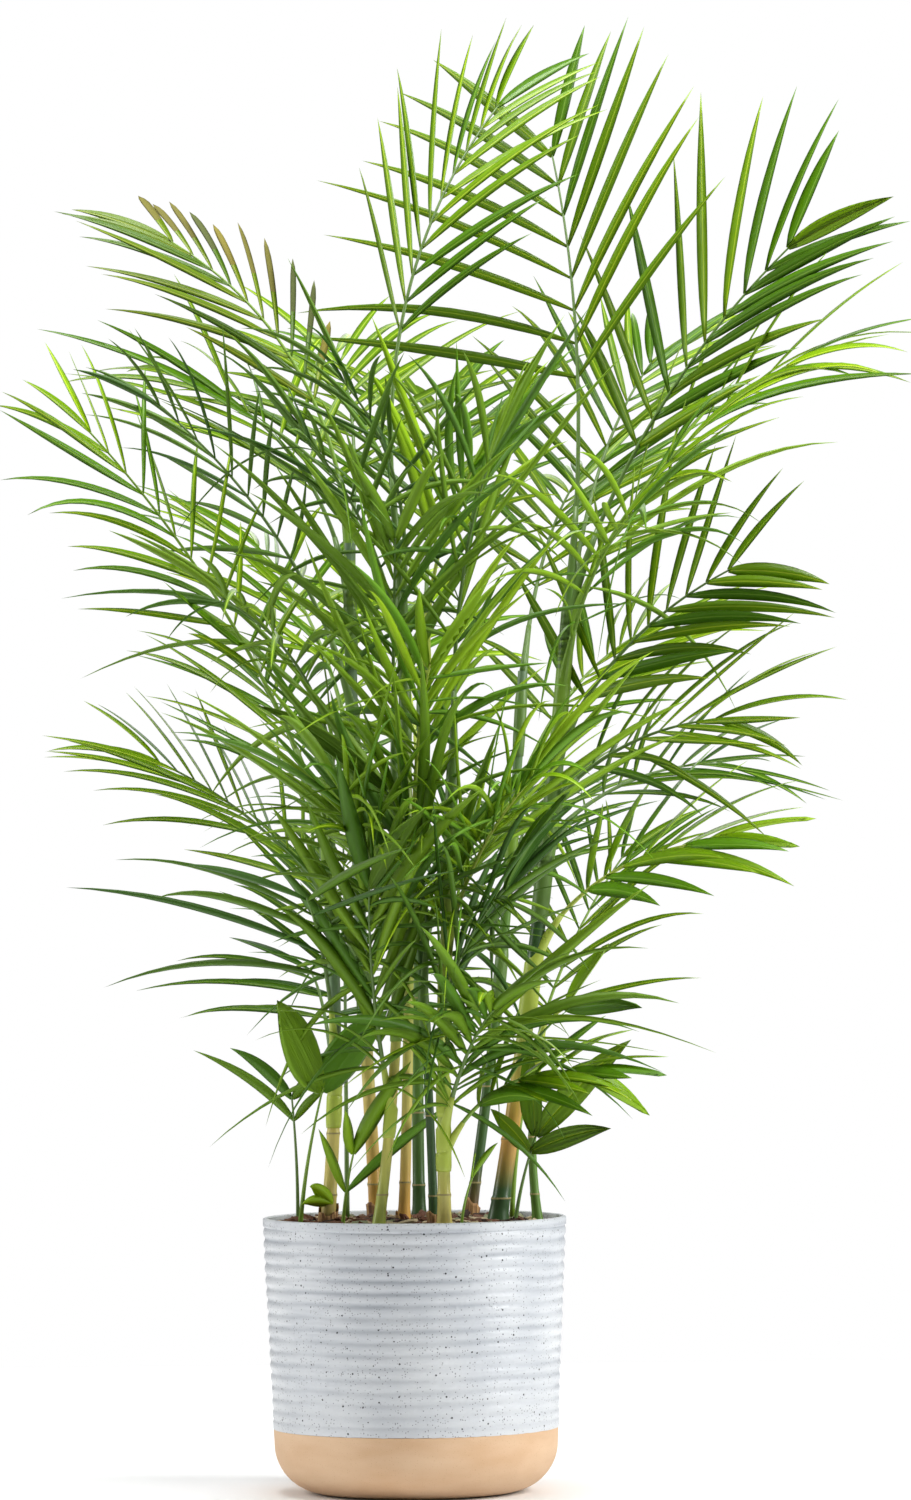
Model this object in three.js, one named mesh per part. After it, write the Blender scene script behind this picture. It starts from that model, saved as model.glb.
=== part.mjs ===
// A bamboo palm in a round planter, in millimetres with Z up. The origin is the middle of the
// planter's flat underside. X runs to the right and Y away from the viewer who faces the plant.
import {
  Box3, BufferGeometry, Float32BufferAttribute, Group, LatheGeometry, MathUtils, Mesh,
  MeshStandardMaterial, QuadraticBezierCurve3, Ray, Vector2, Vector3,
} from 'three';

// Planter: an open ceramic cylinder, a little wider at the rim, with a round bottom corner.
const RIM_RADIUS = 130;
const POT_HEIGHT = 234;
const POT_WALL = 5;
const POT_FLOOR = 9;
const LIP_ROUND = 1.6;
const FOOT_RADIUS = 80;
const CORNER_HEIGHT = 42;
const CORNER_OUTER_RADIUS = 121.5;
const CORNER_STEPS = 5;
const POT_SIDES = 44;

// Potting mix: it fills the planter to just under the rim. Parts that meet keep CLEAR apart.
const CLEAR = 0.3;
const SOIL_TOP = 229;

// Canes: upright tubes on the soil, each a little thicker where it leaves the soil.
const CANE_SIDES = 8;
const CANE_STEPS = 5;
const FOOT_SWELL = 0.3;
const FOOT_SWELL_HEIGHT = 14;

// Frond stems are three-sided. Leaflets grow in pairs from the two upper sides.
const STEM_RADIUS = 2.7;
const STEM_TIP_RADIUS = 1.3;
const STEM_STEPS = 3; // rings on the bare part of a stem
const SOCKET = 5; // length of stem that one leaflet grows from
const LAST_PAIR = 0.975; // how far along the stem the last pair sits

// Stems keep this far from each other and from the canes, tested in straight steps.
const STEM_TEST_STEPS = 14;
const STEM_APART = 1.3;

// Leaflets: angles in degrees from the stem, lengths as shares of the frond's longest leaflet.
const LAST_SPREAD = 21;
const LONGEST_AT = 0.39; // how far along the row of pairs the longest pair sits
const LAST_LENGTH = 0.6;
const SLENDER = 0.044; // width, as a share of the frond's longest leaflet
const LAST_BROADER = 1.35;
const LIFT = 0.12; // out of the blade's plane, as a share of the leaflet's run
const SAG = 0.12; // droop of the leaflet's tip, as a share of its length
const LEAFLET_TURN = 18;
const WIDEST = 0.4; // how far along a leaflet its widest place lies
const KEEL = 0.012; // depth of the midrib, as a share of the leaflet's length

// How much leaflets differ, each by its own draw from the scattered values.
const VARIES = {
  spread: { most: 11, draw: 0 },
  lift: { most: 0.22, draw: 50 },
  length: { most: 0.12, draw: 90 },
  sag: { most: 0.8, draw: 130 },
};

// A leaflet that would touch another part is tilted by the first value of a pair and shortened
// by the second. The pairs are tried in turn, and it is left out when none clears it.
const LEAFLET_APART = 0.5;
const CLEARING = [
  [0, 1], [0.12, 1], [-0.12, 1], [0.24, 1], [-0.24, 1], [0, 0.75], [0.2, 0.75], [-0.2, 0.75],
  [0, 0.5], [0.3, 0.6], [-0.3, 0.6],
];

// A cane has its foot on the soil, its top, the sideways bow of its middle, and its two radii.
const CANES = {
  main: { foot: [71, 0], top: [139, 12, 775], bow: [6, 4], radii: [7.4, 5.0] },
  left: { foot: [-74, -18], top: [-74, -22, 575], bow: [8, 0], radii: [5.8, 4.2] },
  back_left: { foot: [-33, 72], top: [-52, 55, 815], bow: [-4, 6], radii: [5.8, 4.4] },
  front_left: { foot: [-30, -84], top: [-14, -62, 610], bow: [10, 0], radii: [4.6, 3.8] },
  middle: { foot: [-9, -14], top: [-8, -8, 800], bow: [6, -6], radii: [4.6, 4.0] },
  back_middle: { foot: [4, 46], top: [14, 52, 742], bow: [-4, 8], radii: [5.2, 4.2] },
  front_dark: { foot: [17, -56], top: [2, -58, 545], bow: [2, -4], radii: [3.8, 3.2] },
  front: { foot: [26, -92], top: [38, -76, 640], bow: [-4, -8], radii: [5.4, 4.0] },
  back_right: { foot: [48, 84], top: [98, 108, 705], bow: [6, 6], radii: [4.8, 4.0] },
  right: { foot: [106, 22], top: [112, 20, 398], bow: [-7, 0], radii: [3.8, 3.0] },
};

// Each frond springs from a cane at a height, or from the soil where it names no cane, and its
// stem ends at tip. arch bows the stem up, bow to its left, and roll turns the blade about it.
// leaf is the longest leaflet, spread its angle at the lowest pair, last at the last, bare the
// share of stem below the lowest, sag a leaflet's droop and lift its rise above the blade.
// skew spreads the left row's leaflets wider than the right row's, uneven makes them longer, and
// loose is how much leaflets differ, beside a frond of 1.
const FRONDS = [
  { name: 'frond_crown', cane: 'main', height: 775, tip: [127, 130, 1168], arch: 58, bow: -22,
    roll: -30, pairs: 8, leaf: 245, width: 9.5, spread: 52, skew: 16, last: 28, longest: 0.1,
    uneven: 0.09, bare: 0.44, sag: 0.14, loose: 0.35 },
  { name: 'frond_peak', cane: 'middle', height: 800, tip: [86, 78, 1204], arch: 112, roll: 14,
    pairs: 10, leaf: 196, spread: 36, skew: -10, last: 18, uneven: 0.13, bare: 0.44, lift: -0.06,
    sag: 0.16, loose: 0.35 },
  { name: 'frond_upper_right', cane: 'main', height: 768, tip: [336, 10, 1070], arch: 42, roll: 56,
    pairs: 9, leaf: 192, width: 12, spread: 44, skew: 6, last: 24, longest: 0.45, uneven: 0.12,
    bare: 0.38, lift: 0.14, loose: 0.5 },
  { name: 'frond_high_right', cane: 'main', height: 748, tip: [330, -50, 960], arch: 50, roll: 28,
    pairs: 10, leaf: 195, spread: 34, skew: -4, last: 20, bare: 0.3, sag: 0.26, loose: 1.2 },
  { name: 'frond_mid_right', cane: 'main', height: 640, tip: [278, -30, 786], arch: 34, roll: 66,
    pairs: 9, leaf: 160, width: 11, spread: 54, skew: 8, last: 30, bare: 0.2, loose: 0.5 },
  { name: 'frond_low_right', cane: 'main', height: 590, tip: [264, -52, 656], arch: 30, roll: 54,
    pairs: 8, leaf: 168, spread: 46, bare: 0.26, loose: 1 },
  { name: 'frond_right_back', cane: 'main', height: 560, tip: [270, 86, 622], arch: 32, roll: 24,
    pairs: 8, leaf: 142, spread: 50, bare: 0.34 },
  { name: 'frond_broad_right', cane: 'main', height: 468, tip: [258, -24, 552], arch: 40, roll: 32,
    pairs: 7, leaf: 148, width: 15, spread: 58, bare: 0.34, loose: 0.6 },
  { name: 'frond_upper_left', cane: 'back_left', height: 815, tip: [-214, 120, 1090], arch: 84,
    roll: -42, pairs: 10, leaf: 130, width: 8, spread: 38, skew: 5, last: 20, uneven: 0.25,
    bare: 0.38, loose: 0.5 },
  { name: 'frond_high_left', cane: 'back_left', height: 780, tip: [-194, 124, 966], arch: 62,
    roll: -20, pairs: 9, leaf: 172, spread: 58, bare: 0.34, loose: 1.3 },
  { name: 'frond_mid_left', cane: 'back_left', height: 690, tip: [-218, -22, 934], arch: 46,
    roll: 18, pairs: 9, leaf: 138, spread: 52, bare: 0.4, loose: 0.9 },
  { name: 'frond_far_left', cane: 'left', height: 575, tip: [-278, -24, 914], arch: 40, roll: -40,
    pairs: 12, leaf: 158, spread: 56, last: 26, bare: 0.34, loose: 1.1 },
  { name: 'frond_left_front', cane: 'left', height: 548, tip: [-158, -110, 760], arch: 92, bow: 16,
    roll: -10, pairs: 8, leaf: 170, spread: 66, last: 30, bare: 0.4, sag: 0.4, loose: 1.5 },
  { name: 'frond_low_left', cane: 'back_left', height: 462, tip: [-226, 92, 630], arch: 40,
    roll: -27, pairs: 11, leaf: 160, spread: 48, uneven: 0.1, bare: 0.28, loose: 0.6 },
  { name: 'frond_foot_left', cane: 'left', height: 384, tip: [-86, -164, 506], arch: 34, roll: 0,
    pairs: 5, leaf: 190, width: 8, spread: 64, last: 50, bare: 0.36, sag: 0.16 },
  { name: 'frond_foot_back', cane: 'left', height: 346, tip: [-92, 124, 446], arch: 40, roll: 0,
    pairs: 4, leaf: 156, width: 8, spread: 70, last: 50, bare: 0.42 },
  { name: 'frond_centre', cane: 'front_left', height: 610, tip: [-10, -140, 806], arch: 46, roll: 0,
    pairs: 9, leaf: 190, spread: 36, last: 18, bare: 0.3, sag: 0.2, loose: 1.3 },
  { name: 'frond_centre_right', cane: 'front', height: 640, tip: [70, -144, 872], arch: 48, roll: 8,
    pairs: 7, leaf: 200, width: 7, spread: 34, last: 18, bare: 0.32, sag: 0.2, loose: 1.5 },
  { name: 'frond_centre_tall', cane: 'back_middle', height: 742, tip: [56, -34, 872], arch: 30,
    roll: 8, pairs: 6, leaf: 200, width: 10, spread: 34, last: 16, bare: 0.42 },
  { name: 'frond_right_front', cane: 'main', height: 706, tip: [196, -150, 830], arch: 44, roll: 14,
    pairs: 7, leaf: 190, width: 7, spread: 42, bare: 0.34, loose: 1.5 },
  { name: 'frond_left_centre', cane: 'middle', height: 716, tip: [-84, -140, 888], arch: 46,
    roll: -12, pairs: 7, leaf: 170, width: 7, spread: 38, last: 18, bare: 0.34, loose: 1.6 },
  { name: 'frond_young_right', cane: 'front', height: 470, tip: [104, -150, 606], arch: 24,
    roll: 10, pairs: 9, leaf: 190, spread: 40, last: 20, bare: 0.28, sag: 0.22, loose: 1.5 },
  { name: 'frond_young_left', cane: 'front_left', height: 452, tip: [-60, -156, 600], arch: 24,
    roll: -10, pairs: 9, leaf: 180, spread: 40, last: 20, bare: 0.28, sag: 0.22, loose: 1.5 },
  { name: 'frond_young_centre', cane: 'front_dark', height: 545, tip: [18, -146, 700], arch: 42,
    roll: 0, pairs: 9, leaf: 190, spread: 36, last: 18, bare: 0.3, loose: 1.6 },
  { name: 'frond_low_front', cane: 'front', height: 318, tip: [68, -186, 412], arch: 30, bow: 8,
    roll: 0, pairs: 8, leaf: 160, width: 11, spread: 46, bare: 0.3, sag: 0.4, loose: 1.4 },
  { name: 'frond_inner_left', cane: 'middle', height: 762, tip: [-56, -104, 945], arch: 44, bow: 24,
    roll: -16, pairs: 7, leaf: 145, width: 6, spread: 38, last: 18, bare: 0.38, loose: 1.6 },
  { name: 'frond_inner_low_left', cane: 'front_left', height: 336, tip: [-34, -148, 518], arch: 18,
    bow: -16, roll: -6, pairs: 8, leaf: 170, width: 13, spread: 36, last: 18, bare: 0.26,
    loose: 1.5 },
  { name: 'frond_inner_low_right', cane: 'front', height: 362, tip: [82, -126, 516], arch: 24,
    bow: -32, roll: 6, pairs: 8, leaf: 180, width: 13, spread: 38, last: 18, bare: 0.26,
    loose: 1.5 },
  { name: 'frond_inner_low', cane: 'front_dark', height: 440, tip: [-22, -130, 600], arch: 24,
    bow: 24, roll: 0, pairs: 8, leaf: 190, width: 12, spread: 36, last: 18, bare: 0.26,
    loose: 1.6 },
  { name: 'frond_inner_back', cane: 'back_middle', height: 430, tip: [56, 168, 566], arch: 36,
    roll: 0, pairs: 10, leaf: 168, spread: 56, bare: 0.3 },
  { name: 'frond_back_upper_left', cane: 'back_left', height: 796, tip: [-66, 226, 1000], arch: 58,
    bow: -16, roll: 0, pairs: 10, leaf: 180, spread: 56, bare: 0.34 },
  { name: 'frond_back_left', cane: 'back_left', height: 632, tip: [-140, 220, 826], arch: 50,
    roll: 10, pairs: 10, leaf: 176, spread: 56, bare: 0.34 },
  { name: 'frond_back_top', cane: 'back_middle', height: 728, tip: [26, 244, 950], arch: 54,
    roll: 0, pairs: 10, leaf: 182, spread: 54, bare: 0.34 },
  { name: 'frond_back_centre', cane: 'back_middle', height: 612, tip: [-24, 264, 770], arch: 50,
    roll: 0, pairs: 10, leaf: 174, spread: 58, bare: 0.32 },
  { name: 'frond_back_right', cane: 'back_right', height: 705, tip: [156, 288, 892], arch: 54,
    roll: 0, pairs: 10, leaf: 172, spread: 56, bare: 0.32 },
  { name: 'frond_back_low_right', cane: 'back_right', height: 596, tip: [216, 226, 748], arch: 46,
    roll: 12, pairs: 9, leaf: 160, spread: 56, bare: 0.34 },
  { name: 'frond_back_foot', cane: 'back_right', height: 474, tip: [112, 258, 590], arch: 44,
    roll: 0, pairs: 9, leaf: 158, spread: 58, bare: 0.34 },
  { name: 'frond_back_upper_right', cane: 'main', height: 758, tip: [218, 176, 984], arch: 52,
    roll: 14, pairs: 10, leaf: 180, spread: 52, bare: 0.34 },
  { name: 'frond_back_far_left', cane: 'left', height: 520, tip: [-138, 150, 706], arch: 44,
    roll: -4, pairs: 9, leaf: 152, spread: 54, bare: 0.36 },
  { name: 'frond_back_low_left', foot: [-58, 34], tip: [-62, 208, 560], arch: 70, roll: 0, pairs: 9,
    leaf: 150, spread: 58, bare: 0.52 },
  { name: 'frond_back_low', foot: [84, 56], tip: [190, 160, 548], arch: 70, roll: 10, pairs: 9,
    leaf: 146, spread: 56, bare: 0.52 },
  { name: 'leaf_forked', foot: [-97, -24], tip: [-76, -50, 346], arch: 8, roll: 0, pairs: 1,
    leaf: 100, width: 40, spread: 34, uneven: -0.06, bare: 0.9, sag: 0.2, loose: 0.3, stem: 2.2 },
  { name: 'leaf_foot_left', foot: [-100, 12], tip: [-104, -8, 338], arch: 12, roll: 0, pairs: 2,
    leaf: 84, width: 9, spread: 42, last: 34, uneven: -0.35, bare: 0.8, sag: 0.5, stem: 1.8 },
  { name: 'leaf_foot_front', foot: [-60, -58], tip: [-50, -76, 292], arch: 6, roll: 4, pairs: 2,
    leaf: 120, width: 11, spread: 38, skew: 14, last: 18, uneven: 0.36, bare: 0.45, loose: 0.3,
    stem: 1.8 },
  { name: 'leaf_low_front', cane: 'front', height: 296, tip: [150, -112, 358], arch: 46, roll: 30,
    pairs: 8, leaf: 100, width: 14, spread: 46, last: 28, bare: 0.3, stem: 2.2 },
  { name: 'leaf_low_right', foot: [86, -18], tip: [105, -14, 304], arch: 4, roll: 62, pairs: 2,
    leaf: 164, width: 20, spread: 52, last: 20, longest: 0.55, uneven: -0.2, bare: 0.8, sag: 0.14,
    loose: 0.4, stem: 2 },
  { name: 'leaf_right', cane: 'right', height: 398, tip: [131, 0, 411], arch: 0.5, roll: 76,
    pairs: 1, leaf: 92, width: 18, spread: 17, uneven: -0.06, bare: 0.7, sag: 0.04, loose: 0.8,
    stem: 2 },
  { name: 'leaf_foot_right', foot: [40, -100], tip: [50, -108, 272], arch: 4, roll: 10, pairs: 1,
    leaf: 42, width: 8, spread: 36, bare: 0.85, stem: 1.5 },
];

const GLAZE = { color: 0xd7dce4, roughness: 0.45, metalness: 0 };
const SOIL = { color: 0x5b3a26, roughness: 1, metalness: 0 };
const CANE = { color: 0x7d9a45, roughness: 0.55, metalness: 0 };
const LEAF = { color: 0x467f1c, roughness: 0.5, metalness: 0 };

const UP = new Vector3(0, 0, 1);
const THIRD_TURN = (2 * Math.PI) / 3;
const PARALLEL = 1e-9; // below this, two lines count as parallel
const palm = new Group();

function addPiece(name, geometry, look) {
  const piece = new Mesh(geometry, new MeshStandardMaterial(look));
  piece.name = name;
  palm.add(piece);
}

// A value from -1 to 1 that looks random and is always the same for the same two numbers.
const SCATTER_ROW = 12.9898;
const SCATTER_COLUMN = 78.233;
const SCATTER_SIZE = 43758.5453;

function scatter(row, column) {
  const wave = Math.sin(row * SCATTER_ROW + column * SCATTER_COLUMN) * SCATTER_SIZE;
  return 2 * (wave - Math.floor(wave)) - 1;
}

// The planter's side from the flat foot to the rim, moved inwards by inset.
function potSide(inset, floor, top) {
  const side = [];
  for (let step = 0; step <= CORNER_STEPS; step += 1) {
    const turn = (step / CORNER_STEPS) * (Math.PI / 2);
    const reach = CORNER_OUTER_RADIUS - FOOT_RADIUS;
    const radius = FOOT_RADIUS + reach * Math.sin(turn) - inset;
    const height = floor + (CORNER_HEIGHT - floor) * (1 - Math.cos(turn));
    side.push(new Vector2(radius, height));
  }
  const flare = (RIM_RADIUS - CORNER_OUTER_RADIUS) / (POT_HEIGHT - CORNER_HEIGHT);
  side.push(new Vector2(CORNER_OUTER_RADIUS + flare * (top - CORNER_HEIGHT) - inset, top));
  return side;
}

function lathe(profile) {
  return new LatheGeometry(profile, POT_SIDES).rotateX(Math.PI / 2);
}

function makePot() {
  const outside = potSide(0, 0, POT_HEIGHT - LIP_ROUND);
  const inside = potSide(POT_WALL, POT_FLOOR, POT_HEIGHT - LIP_ROUND).reverse();
  const lip = [
    new Vector2(RIM_RADIUS - LIP_ROUND, POT_HEIGHT),
    new Vector2(RIM_RADIUS - POT_WALL + LIP_ROUND, POT_HEIGHT),
  ];
  const profile = [
    new Vector2(0, 0), ...outside, ...lip, ...inside, new Vector2(0, POT_FLOOR),
  ];
  addPiece('pot', lathe(profile), GLAZE);
}

function makeSoil() {
  const side = potSide(POT_WALL + CLEAR, POT_FLOOR + CLEAR, SOIL_TOP);
  const profile = [
    new Vector2(0, POT_FLOOR + CLEAR), ...side, new Vector2(0, SOIL_TOP),
  ];
  addPiece('soil', lathe(profile), SOIL);
}

// A cane's rings stand close together in its swollen foot and evenly above it.
function ringHeights(cane) {
  const foot = SOIL_TOP + CLEAR;
  const heights = [foot, foot + FOOT_SWELL_HEIGHT];
  const start = foot + 3 * FOOT_SWELL_HEIGHT;
  for (let step = 0; step <= CANE_STEPS; step += 1) {
    heights.push(MathUtils.lerp(start, cane.top[2], step / CANE_STEPS));
  }
  return heights;
}

function ringAt(cane, height) {
  const foot = new Vector3(cane.foot[0], cane.foot[1], SOIL_TOP + CLEAR);
  const top = new Vector3(...cane.top);
  const share = MathUtils.clamp((height - foot.z) / (top.z - foot.z), 0, 1);
  const bend = 4 * share * (1 - share);
  const centre = foot.lerp(top, share);
  centre.x += cane.bow[0] * bend;
  centre.y += cane.bow[1] * bend;
  const swell = 1 + FOOT_SWELL * Math.exp(-(height - SOIL_TOP) / FOOT_SWELL_HEIGHT);
  return { centre, radius: MathUtils.lerp(...cane.radii, share) * swell };
}

// A cane's middle, its radius and its direction at a height, straight from ring to ring.
function caneAt(cane, height) {
  const heights = ringHeights(cane);
  const upper = Math.max(heights.findIndex((ring) => ring >= height), 1);
  const low = ringAt(cane, heights[upper - 1]);
  const high = ringAt(cane, heights[upper]);
  const share = (height - heights[upper - 1]) / (heights[upper] - heights[upper - 1]);
  return {
    centre: low.centre.clone().lerp(high.centre, share),
    radius: MathUtils.lerp(low.radius, high.radius, share),
    along: high.centre.sub(low.centre).normalize(),
  };
}

// How far a cane's flat-sided section reaches from its middle in a direction.
function sectionReach(radius, out) {
  const side = (2 * Math.PI) / CANE_SIDES;
  const turn = Math.atan2(out.y, out.x) / side;
  return radius * Math.cos((turn - Math.round(turn)) * side);
}

// Positions and triangles of one closed body.
class Body {
  constructor() {
    this.points = [];
    this.faces = [];
  }

  point(place) {
    this.points.push(place);
    return this.points.length - 1;
  }

  triangles() {
    return this.faces.map((face) => face.map((corner) => this.points[corner]));
  }

  geometry() {
    const geometry = new BufferGeometry();
    const places = this.points.flatMap((place) => place.toArray());
    geometry.setAttribute('position', new Float32BufferAttribute(places, 3));
    geometry.setIndex(this.faces.flat());
    geometry.computeVertexNormals();
    return geometry;
  }
}

function caneBody(cane) {
  const body = new Body();
  const heights = ringHeights(cane);
  for (const height of heights) {
    const { centre, radius } = ringAt(cane, height);
    for (let side = 0; side < CANE_SIDES; side += 1) {
      const turn = (side / CANE_SIDES) * 2 * Math.PI;
      const out = new Vector3(Math.cos(turn), Math.sin(turn), 0);
      body.point(centre.clone().addScaledVector(out, radius));
    }
  }
  const last = (heights.length - 1) * CANE_SIDES;
  for (let side = 0; side < CANE_SIDES; side += 1) {
    const next = (side + 1) % CANE_SIDES;
    for (let ring = 0; ring < last; ring += CANE_SIDES) {
      const above = ring + CANE_SIDES;
      body.faces.push([ring + side, ring + next, above + next]);
      body.faces.push([ring + side, above + next, above + side]);
    }
    if (side > 0 && side < CANE_SIDES - 1) {
      body.faces.push([0, next, side]);
      body.faces.push([last, last + side, last + next]);
    }
  }
  return body;
}

// The stem's start: on the soil, on its cane's flat top, or against its cane's side.
function stemFoot(frond, control) {
  if (!frond.cane) {
    return { place: new Vector3(...frond.foot, SOIL_TOP + CLEAR), start: UP };
  }
  const cane = CANES[frond.cane];
  const { centre, radius, along } = caneAt(cane, frond.height);
  if (frond.height === cane.top[2]) {
    return { place: centre.setZ(frond.height + CLEAR), start: UP };
  }
  const out = control.clone().sub(centre);
  out.addScaledVector(along, -out.dot(along)).normalize();
  return { place: centre.addScaledVector(out, sectionReach(radius, out) + CLEAR), start: out };
}

// The stem's curve. Its middle is bowed up by arch and to its left by bow.
function setStem(frond) {
  const tip = new Vector3(...frond.tip);
  const origin = frond.cane
    ? caneAt(CANES[frond.cane], frond.height).centre
    : new Vector3(...frond.foot, SOIL_TOP);
  const chord = tip.clone().sub(origin);
  const heading = chord.clone().setZ(0).normalize();
  frond.across = UP.clone().cross(heading);
  const rise = chord.clone().cross(frond.across).normalize();
  const control = origin.clone().lerp(tip, 0.5).addScaledVector(rise, frond.arch);
  control.addScaledVector(frond.across, frond.bow ?? 0);
  const { place, start } = stemFoot(frond, control);
  frond.start = start;
  frond.curve = new QuadraticBezierCurve3(place, control, tip);
  frond.reach = frond.curve.getLength();
}

function stemRadius(frond, share) {
  return MathUtils.lerp(frond.stem ?? STEM_RADIUS, STEM_TIP_RADIUS, share);
}

// Shortest distance between the straight lines a-b and c-d.
function lineGap(a, b, c, d) {
  const first = b.clone().sub(a);
  const second = d.clone().sub(c);
  const apart = a.clone().sub(c);
  const aa = first.dot(first);
  const bb = second.dot(second);
  const ab = first.dot(second);
  const fa = first.dot(apart);
  const fb = second.dot(apart);
  const size = aa * bb - ab * ab;
  let onFirst = size > PARALLEL ? MathUtils.clamp((ab * fb - fa * bb) / size, 0, 1) : 0;
  const onSecond = MathUtils.clamp((ab * onFirst + fb) / bb, 0, 1);
  onFirst = MathUtils.clamp((ab * onSecond - fa) / aa, 0, 1);
  return apart.addScaledVector(first, onFirst).addScaledVector(second, -onSecond).length();
}

// Middle lines with their thickness, for keeping stems clear of canes and of each other.
function caneLine(name) {
  const line = [];
  for (let step = 0; step <= STEM_TEST_STEPS; step += 1) {
    const height = MathUtils.lerp(SOIL_TOP, CANES[name].top[2], step / STEM_TEST_STEPS);
    const { centre, radius } = caneAt(CANES[name], height);
    line.push({ place: centre.setZ(height), radius });
  }
  return { owner: name, line };
}

function stemLine(frond) {
  const line = [];
  for (let step = 0; step <= STEM_TEST_STEPS; step += 1) {
    const share = step / STEM_TEST_STEPS;
    line.push({ place: frond.curve.getPoint(share), radius: stemRadius(frond, share) });
  }
  return { owner: frond.name, line };
}

function linesMeet(one, other, skip) {
  for (let i = skip; i < one.line.length - 1; i += 1) {
    for (let j = 0; j < other.line.length - 1; j += 1) {
      const [a, b] = [one.line[i], one.line[i + 1]];
      const [c, d] = [other.line[j], other.line[j + 1]];
      const room = a.radius + c.radius + STEM_APART;
      if (lineGap(a.place, b.place, c.place, d.place) < room) return true;
    }
  }
  return false;
}

function layStem(frond, taken) {
  setStem(frond);
  const mine = stemLine(frond);
  const meets = (other) => linesMeet(mine, other, other.owner === frond.cane ? 1 : 0);
  const onTop = (other) => other.owner === frond.cane && frond.start === UP;
  const hurdle = taken.find((other) => !onTop(other) && meets(other));
  if (hurdle) throw new Error(`${frond.name} meets ${hurdle.owner}: give it another bow`);
  taken.push(mine);
}

// The stem's place, direction, side and upper face at a share of its way.
function frameAt(frond, share) {
  const along = share === 0 ? frond.start.clone() : frond.curve.getTangent(share);
  const roll = MathUtils.degToRad(frond.roll);
  const side = frond.across.clone().multiplyScalar(Math.cos(roll));
  side.addScaledVector(along.clone().cross(frond.across), Math.sin(roll));
  side.addScaledVector(along, -side.dot(along)).normalize();
  const face = along.clone().cross(side);
  return { place: frond.curve.getPoint(share), along, side, face };
}

function pairShare(frond, pair) {
  if (frond.pairs === 1) return LAST_PAIR;
  return MathUtils.lerp(frond.bare, LAST_PAIR, pair / (frond.pairs - 1));
}

// Which way a leaflet runs and droops. hand is 1 on the blade's left and -1 on its right.
function leafletRun(frond, order, hand, frame, vary) {
  const single = frond.pairs === 1;
  const last = single ? frond.spread : (frond.last ?? LAST_SPREAD);
  const lowest = frond.spread + hand * (frond.skew ?? 0) + vary('spread');
  const spread = MathUtils.degToRad(MathUtils.lerp(lowest, last, order));
  const run = frame.along.clone().multiplyScalar(Math.cos(spread));
  return run.addScaledVector(frame.side, hand * Math.sin(spread));
}

// One leaflet: where it leaves the stem, its direction, its droop, its length and its width.
// tilt and size are the changes that clear it from its neighbours.
function leafletShape(frond, pair, hand, tilt, size) {
  const single = frond.pairs === 1;
  const order = single ? 1 : pair / (frond.pairs - 1);
  const frame = frameAt(frond, pairShare(frond, pair));
  const row = FRONDS.indexOf(frond) + 1;
  const column = 2 * pair + (hand > 0 ? 1 : 0);
  const loose = frond.loose ?? 1;
  const vary = (what) => loose * VARIES[what].most * scatter(row + VARIES[what].draw, column);
  const run = leafletRun(frond, order, hand, frame, vary);
  run.addScaledVector(frame.face, (frond.lift ?? LIFT) + vary('lift') + tilt).normalize();

  const longest = frond.longest ?? LONGEST_AT;
  const shrink = 1 - (1 - LAST_LENGTH) * ((order - longest) / (1 - longest)) ** 2;
  const side = 1 + hand * (frond.uneven ?? 0);
  const length = frond.leaf * side * (single ? 1 : shrink * (1 + vary('length'))) * size;
  const broader = pair === frond.pairs - 1 && !single ? LAST_BROADER : 1;
  const width = (frond.width ?? SLENDER * frond.leaf) * broader;

  const level = run.clone().cross(frame.face).multiplyScalar(hand).normalize();
  const face = level.clone().cross(run).multiplyScalar(hand);
  const turn = MathUtils.degToRad(LEAFLET_TURN);
  const lead = level.multiplyScalar(Math.cos(turn)).addScaledVector(face, Math.sin(turn));
  const above = lead.clone().cross(run).multiplyScalar(hand);
  const sag = UP.clone().negate().addScaledVector(run, run.z);
  sag.multiplyScalar((frond.sag ?? SAG) * (1 + vary('sag')));
  return { frame, hand, run, lead, above, sag, length, width };
}

function leafletAt(leaflet, share) {
  const place = leaflet.frame.place.clone();
  place.addScaledVector(leaflet.run, leaflet.length * share);
  return place.addScaledVector(leaflet.sag, leaflet.length * share * share);
}

// The leaflet's faces on the four corners of its socket. extra thickens it all round.
function growLeaflet(body, leaflet, socket, extra) {
  const middle = leafletAt(leaflet, WIDEST).addScaledVector(leaflet.above, extra);
  const half = leaflet.width / 2 + extra;
  const keel = KEEL * leaflet.length + 2 * extra;
  const front = body.point(middle.clone().addScaledVector(leaflet.lead, half));
  const rear = body.point(middle.clone().addScaledVector(leaflet.lead, -half));
  const under = body.point(middle.clone().addScaledVector(leaflet.above, -keel));
  const tip = body.point(leafletAt(leaflet, 1).addScaledVector(leaflet.run, extra));
  const [topA, topB, lowA, lowB] = socket;
  const faces = [
    [topA, topB, front], [topA, front, rear], [topB, lowB, front], [lowB, under, front],
    [lowA, under, lowB], [lowA, rear, under], [topA, rear, lowA],
    [rear, front, tip], [front, under, tip], [under, rear, tip],
  ];
  for (const [a, b, c] of faces) body.faces.push(leaflet.hand > 0 ? [a, b, c] : [a, c, b]);
}

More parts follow.
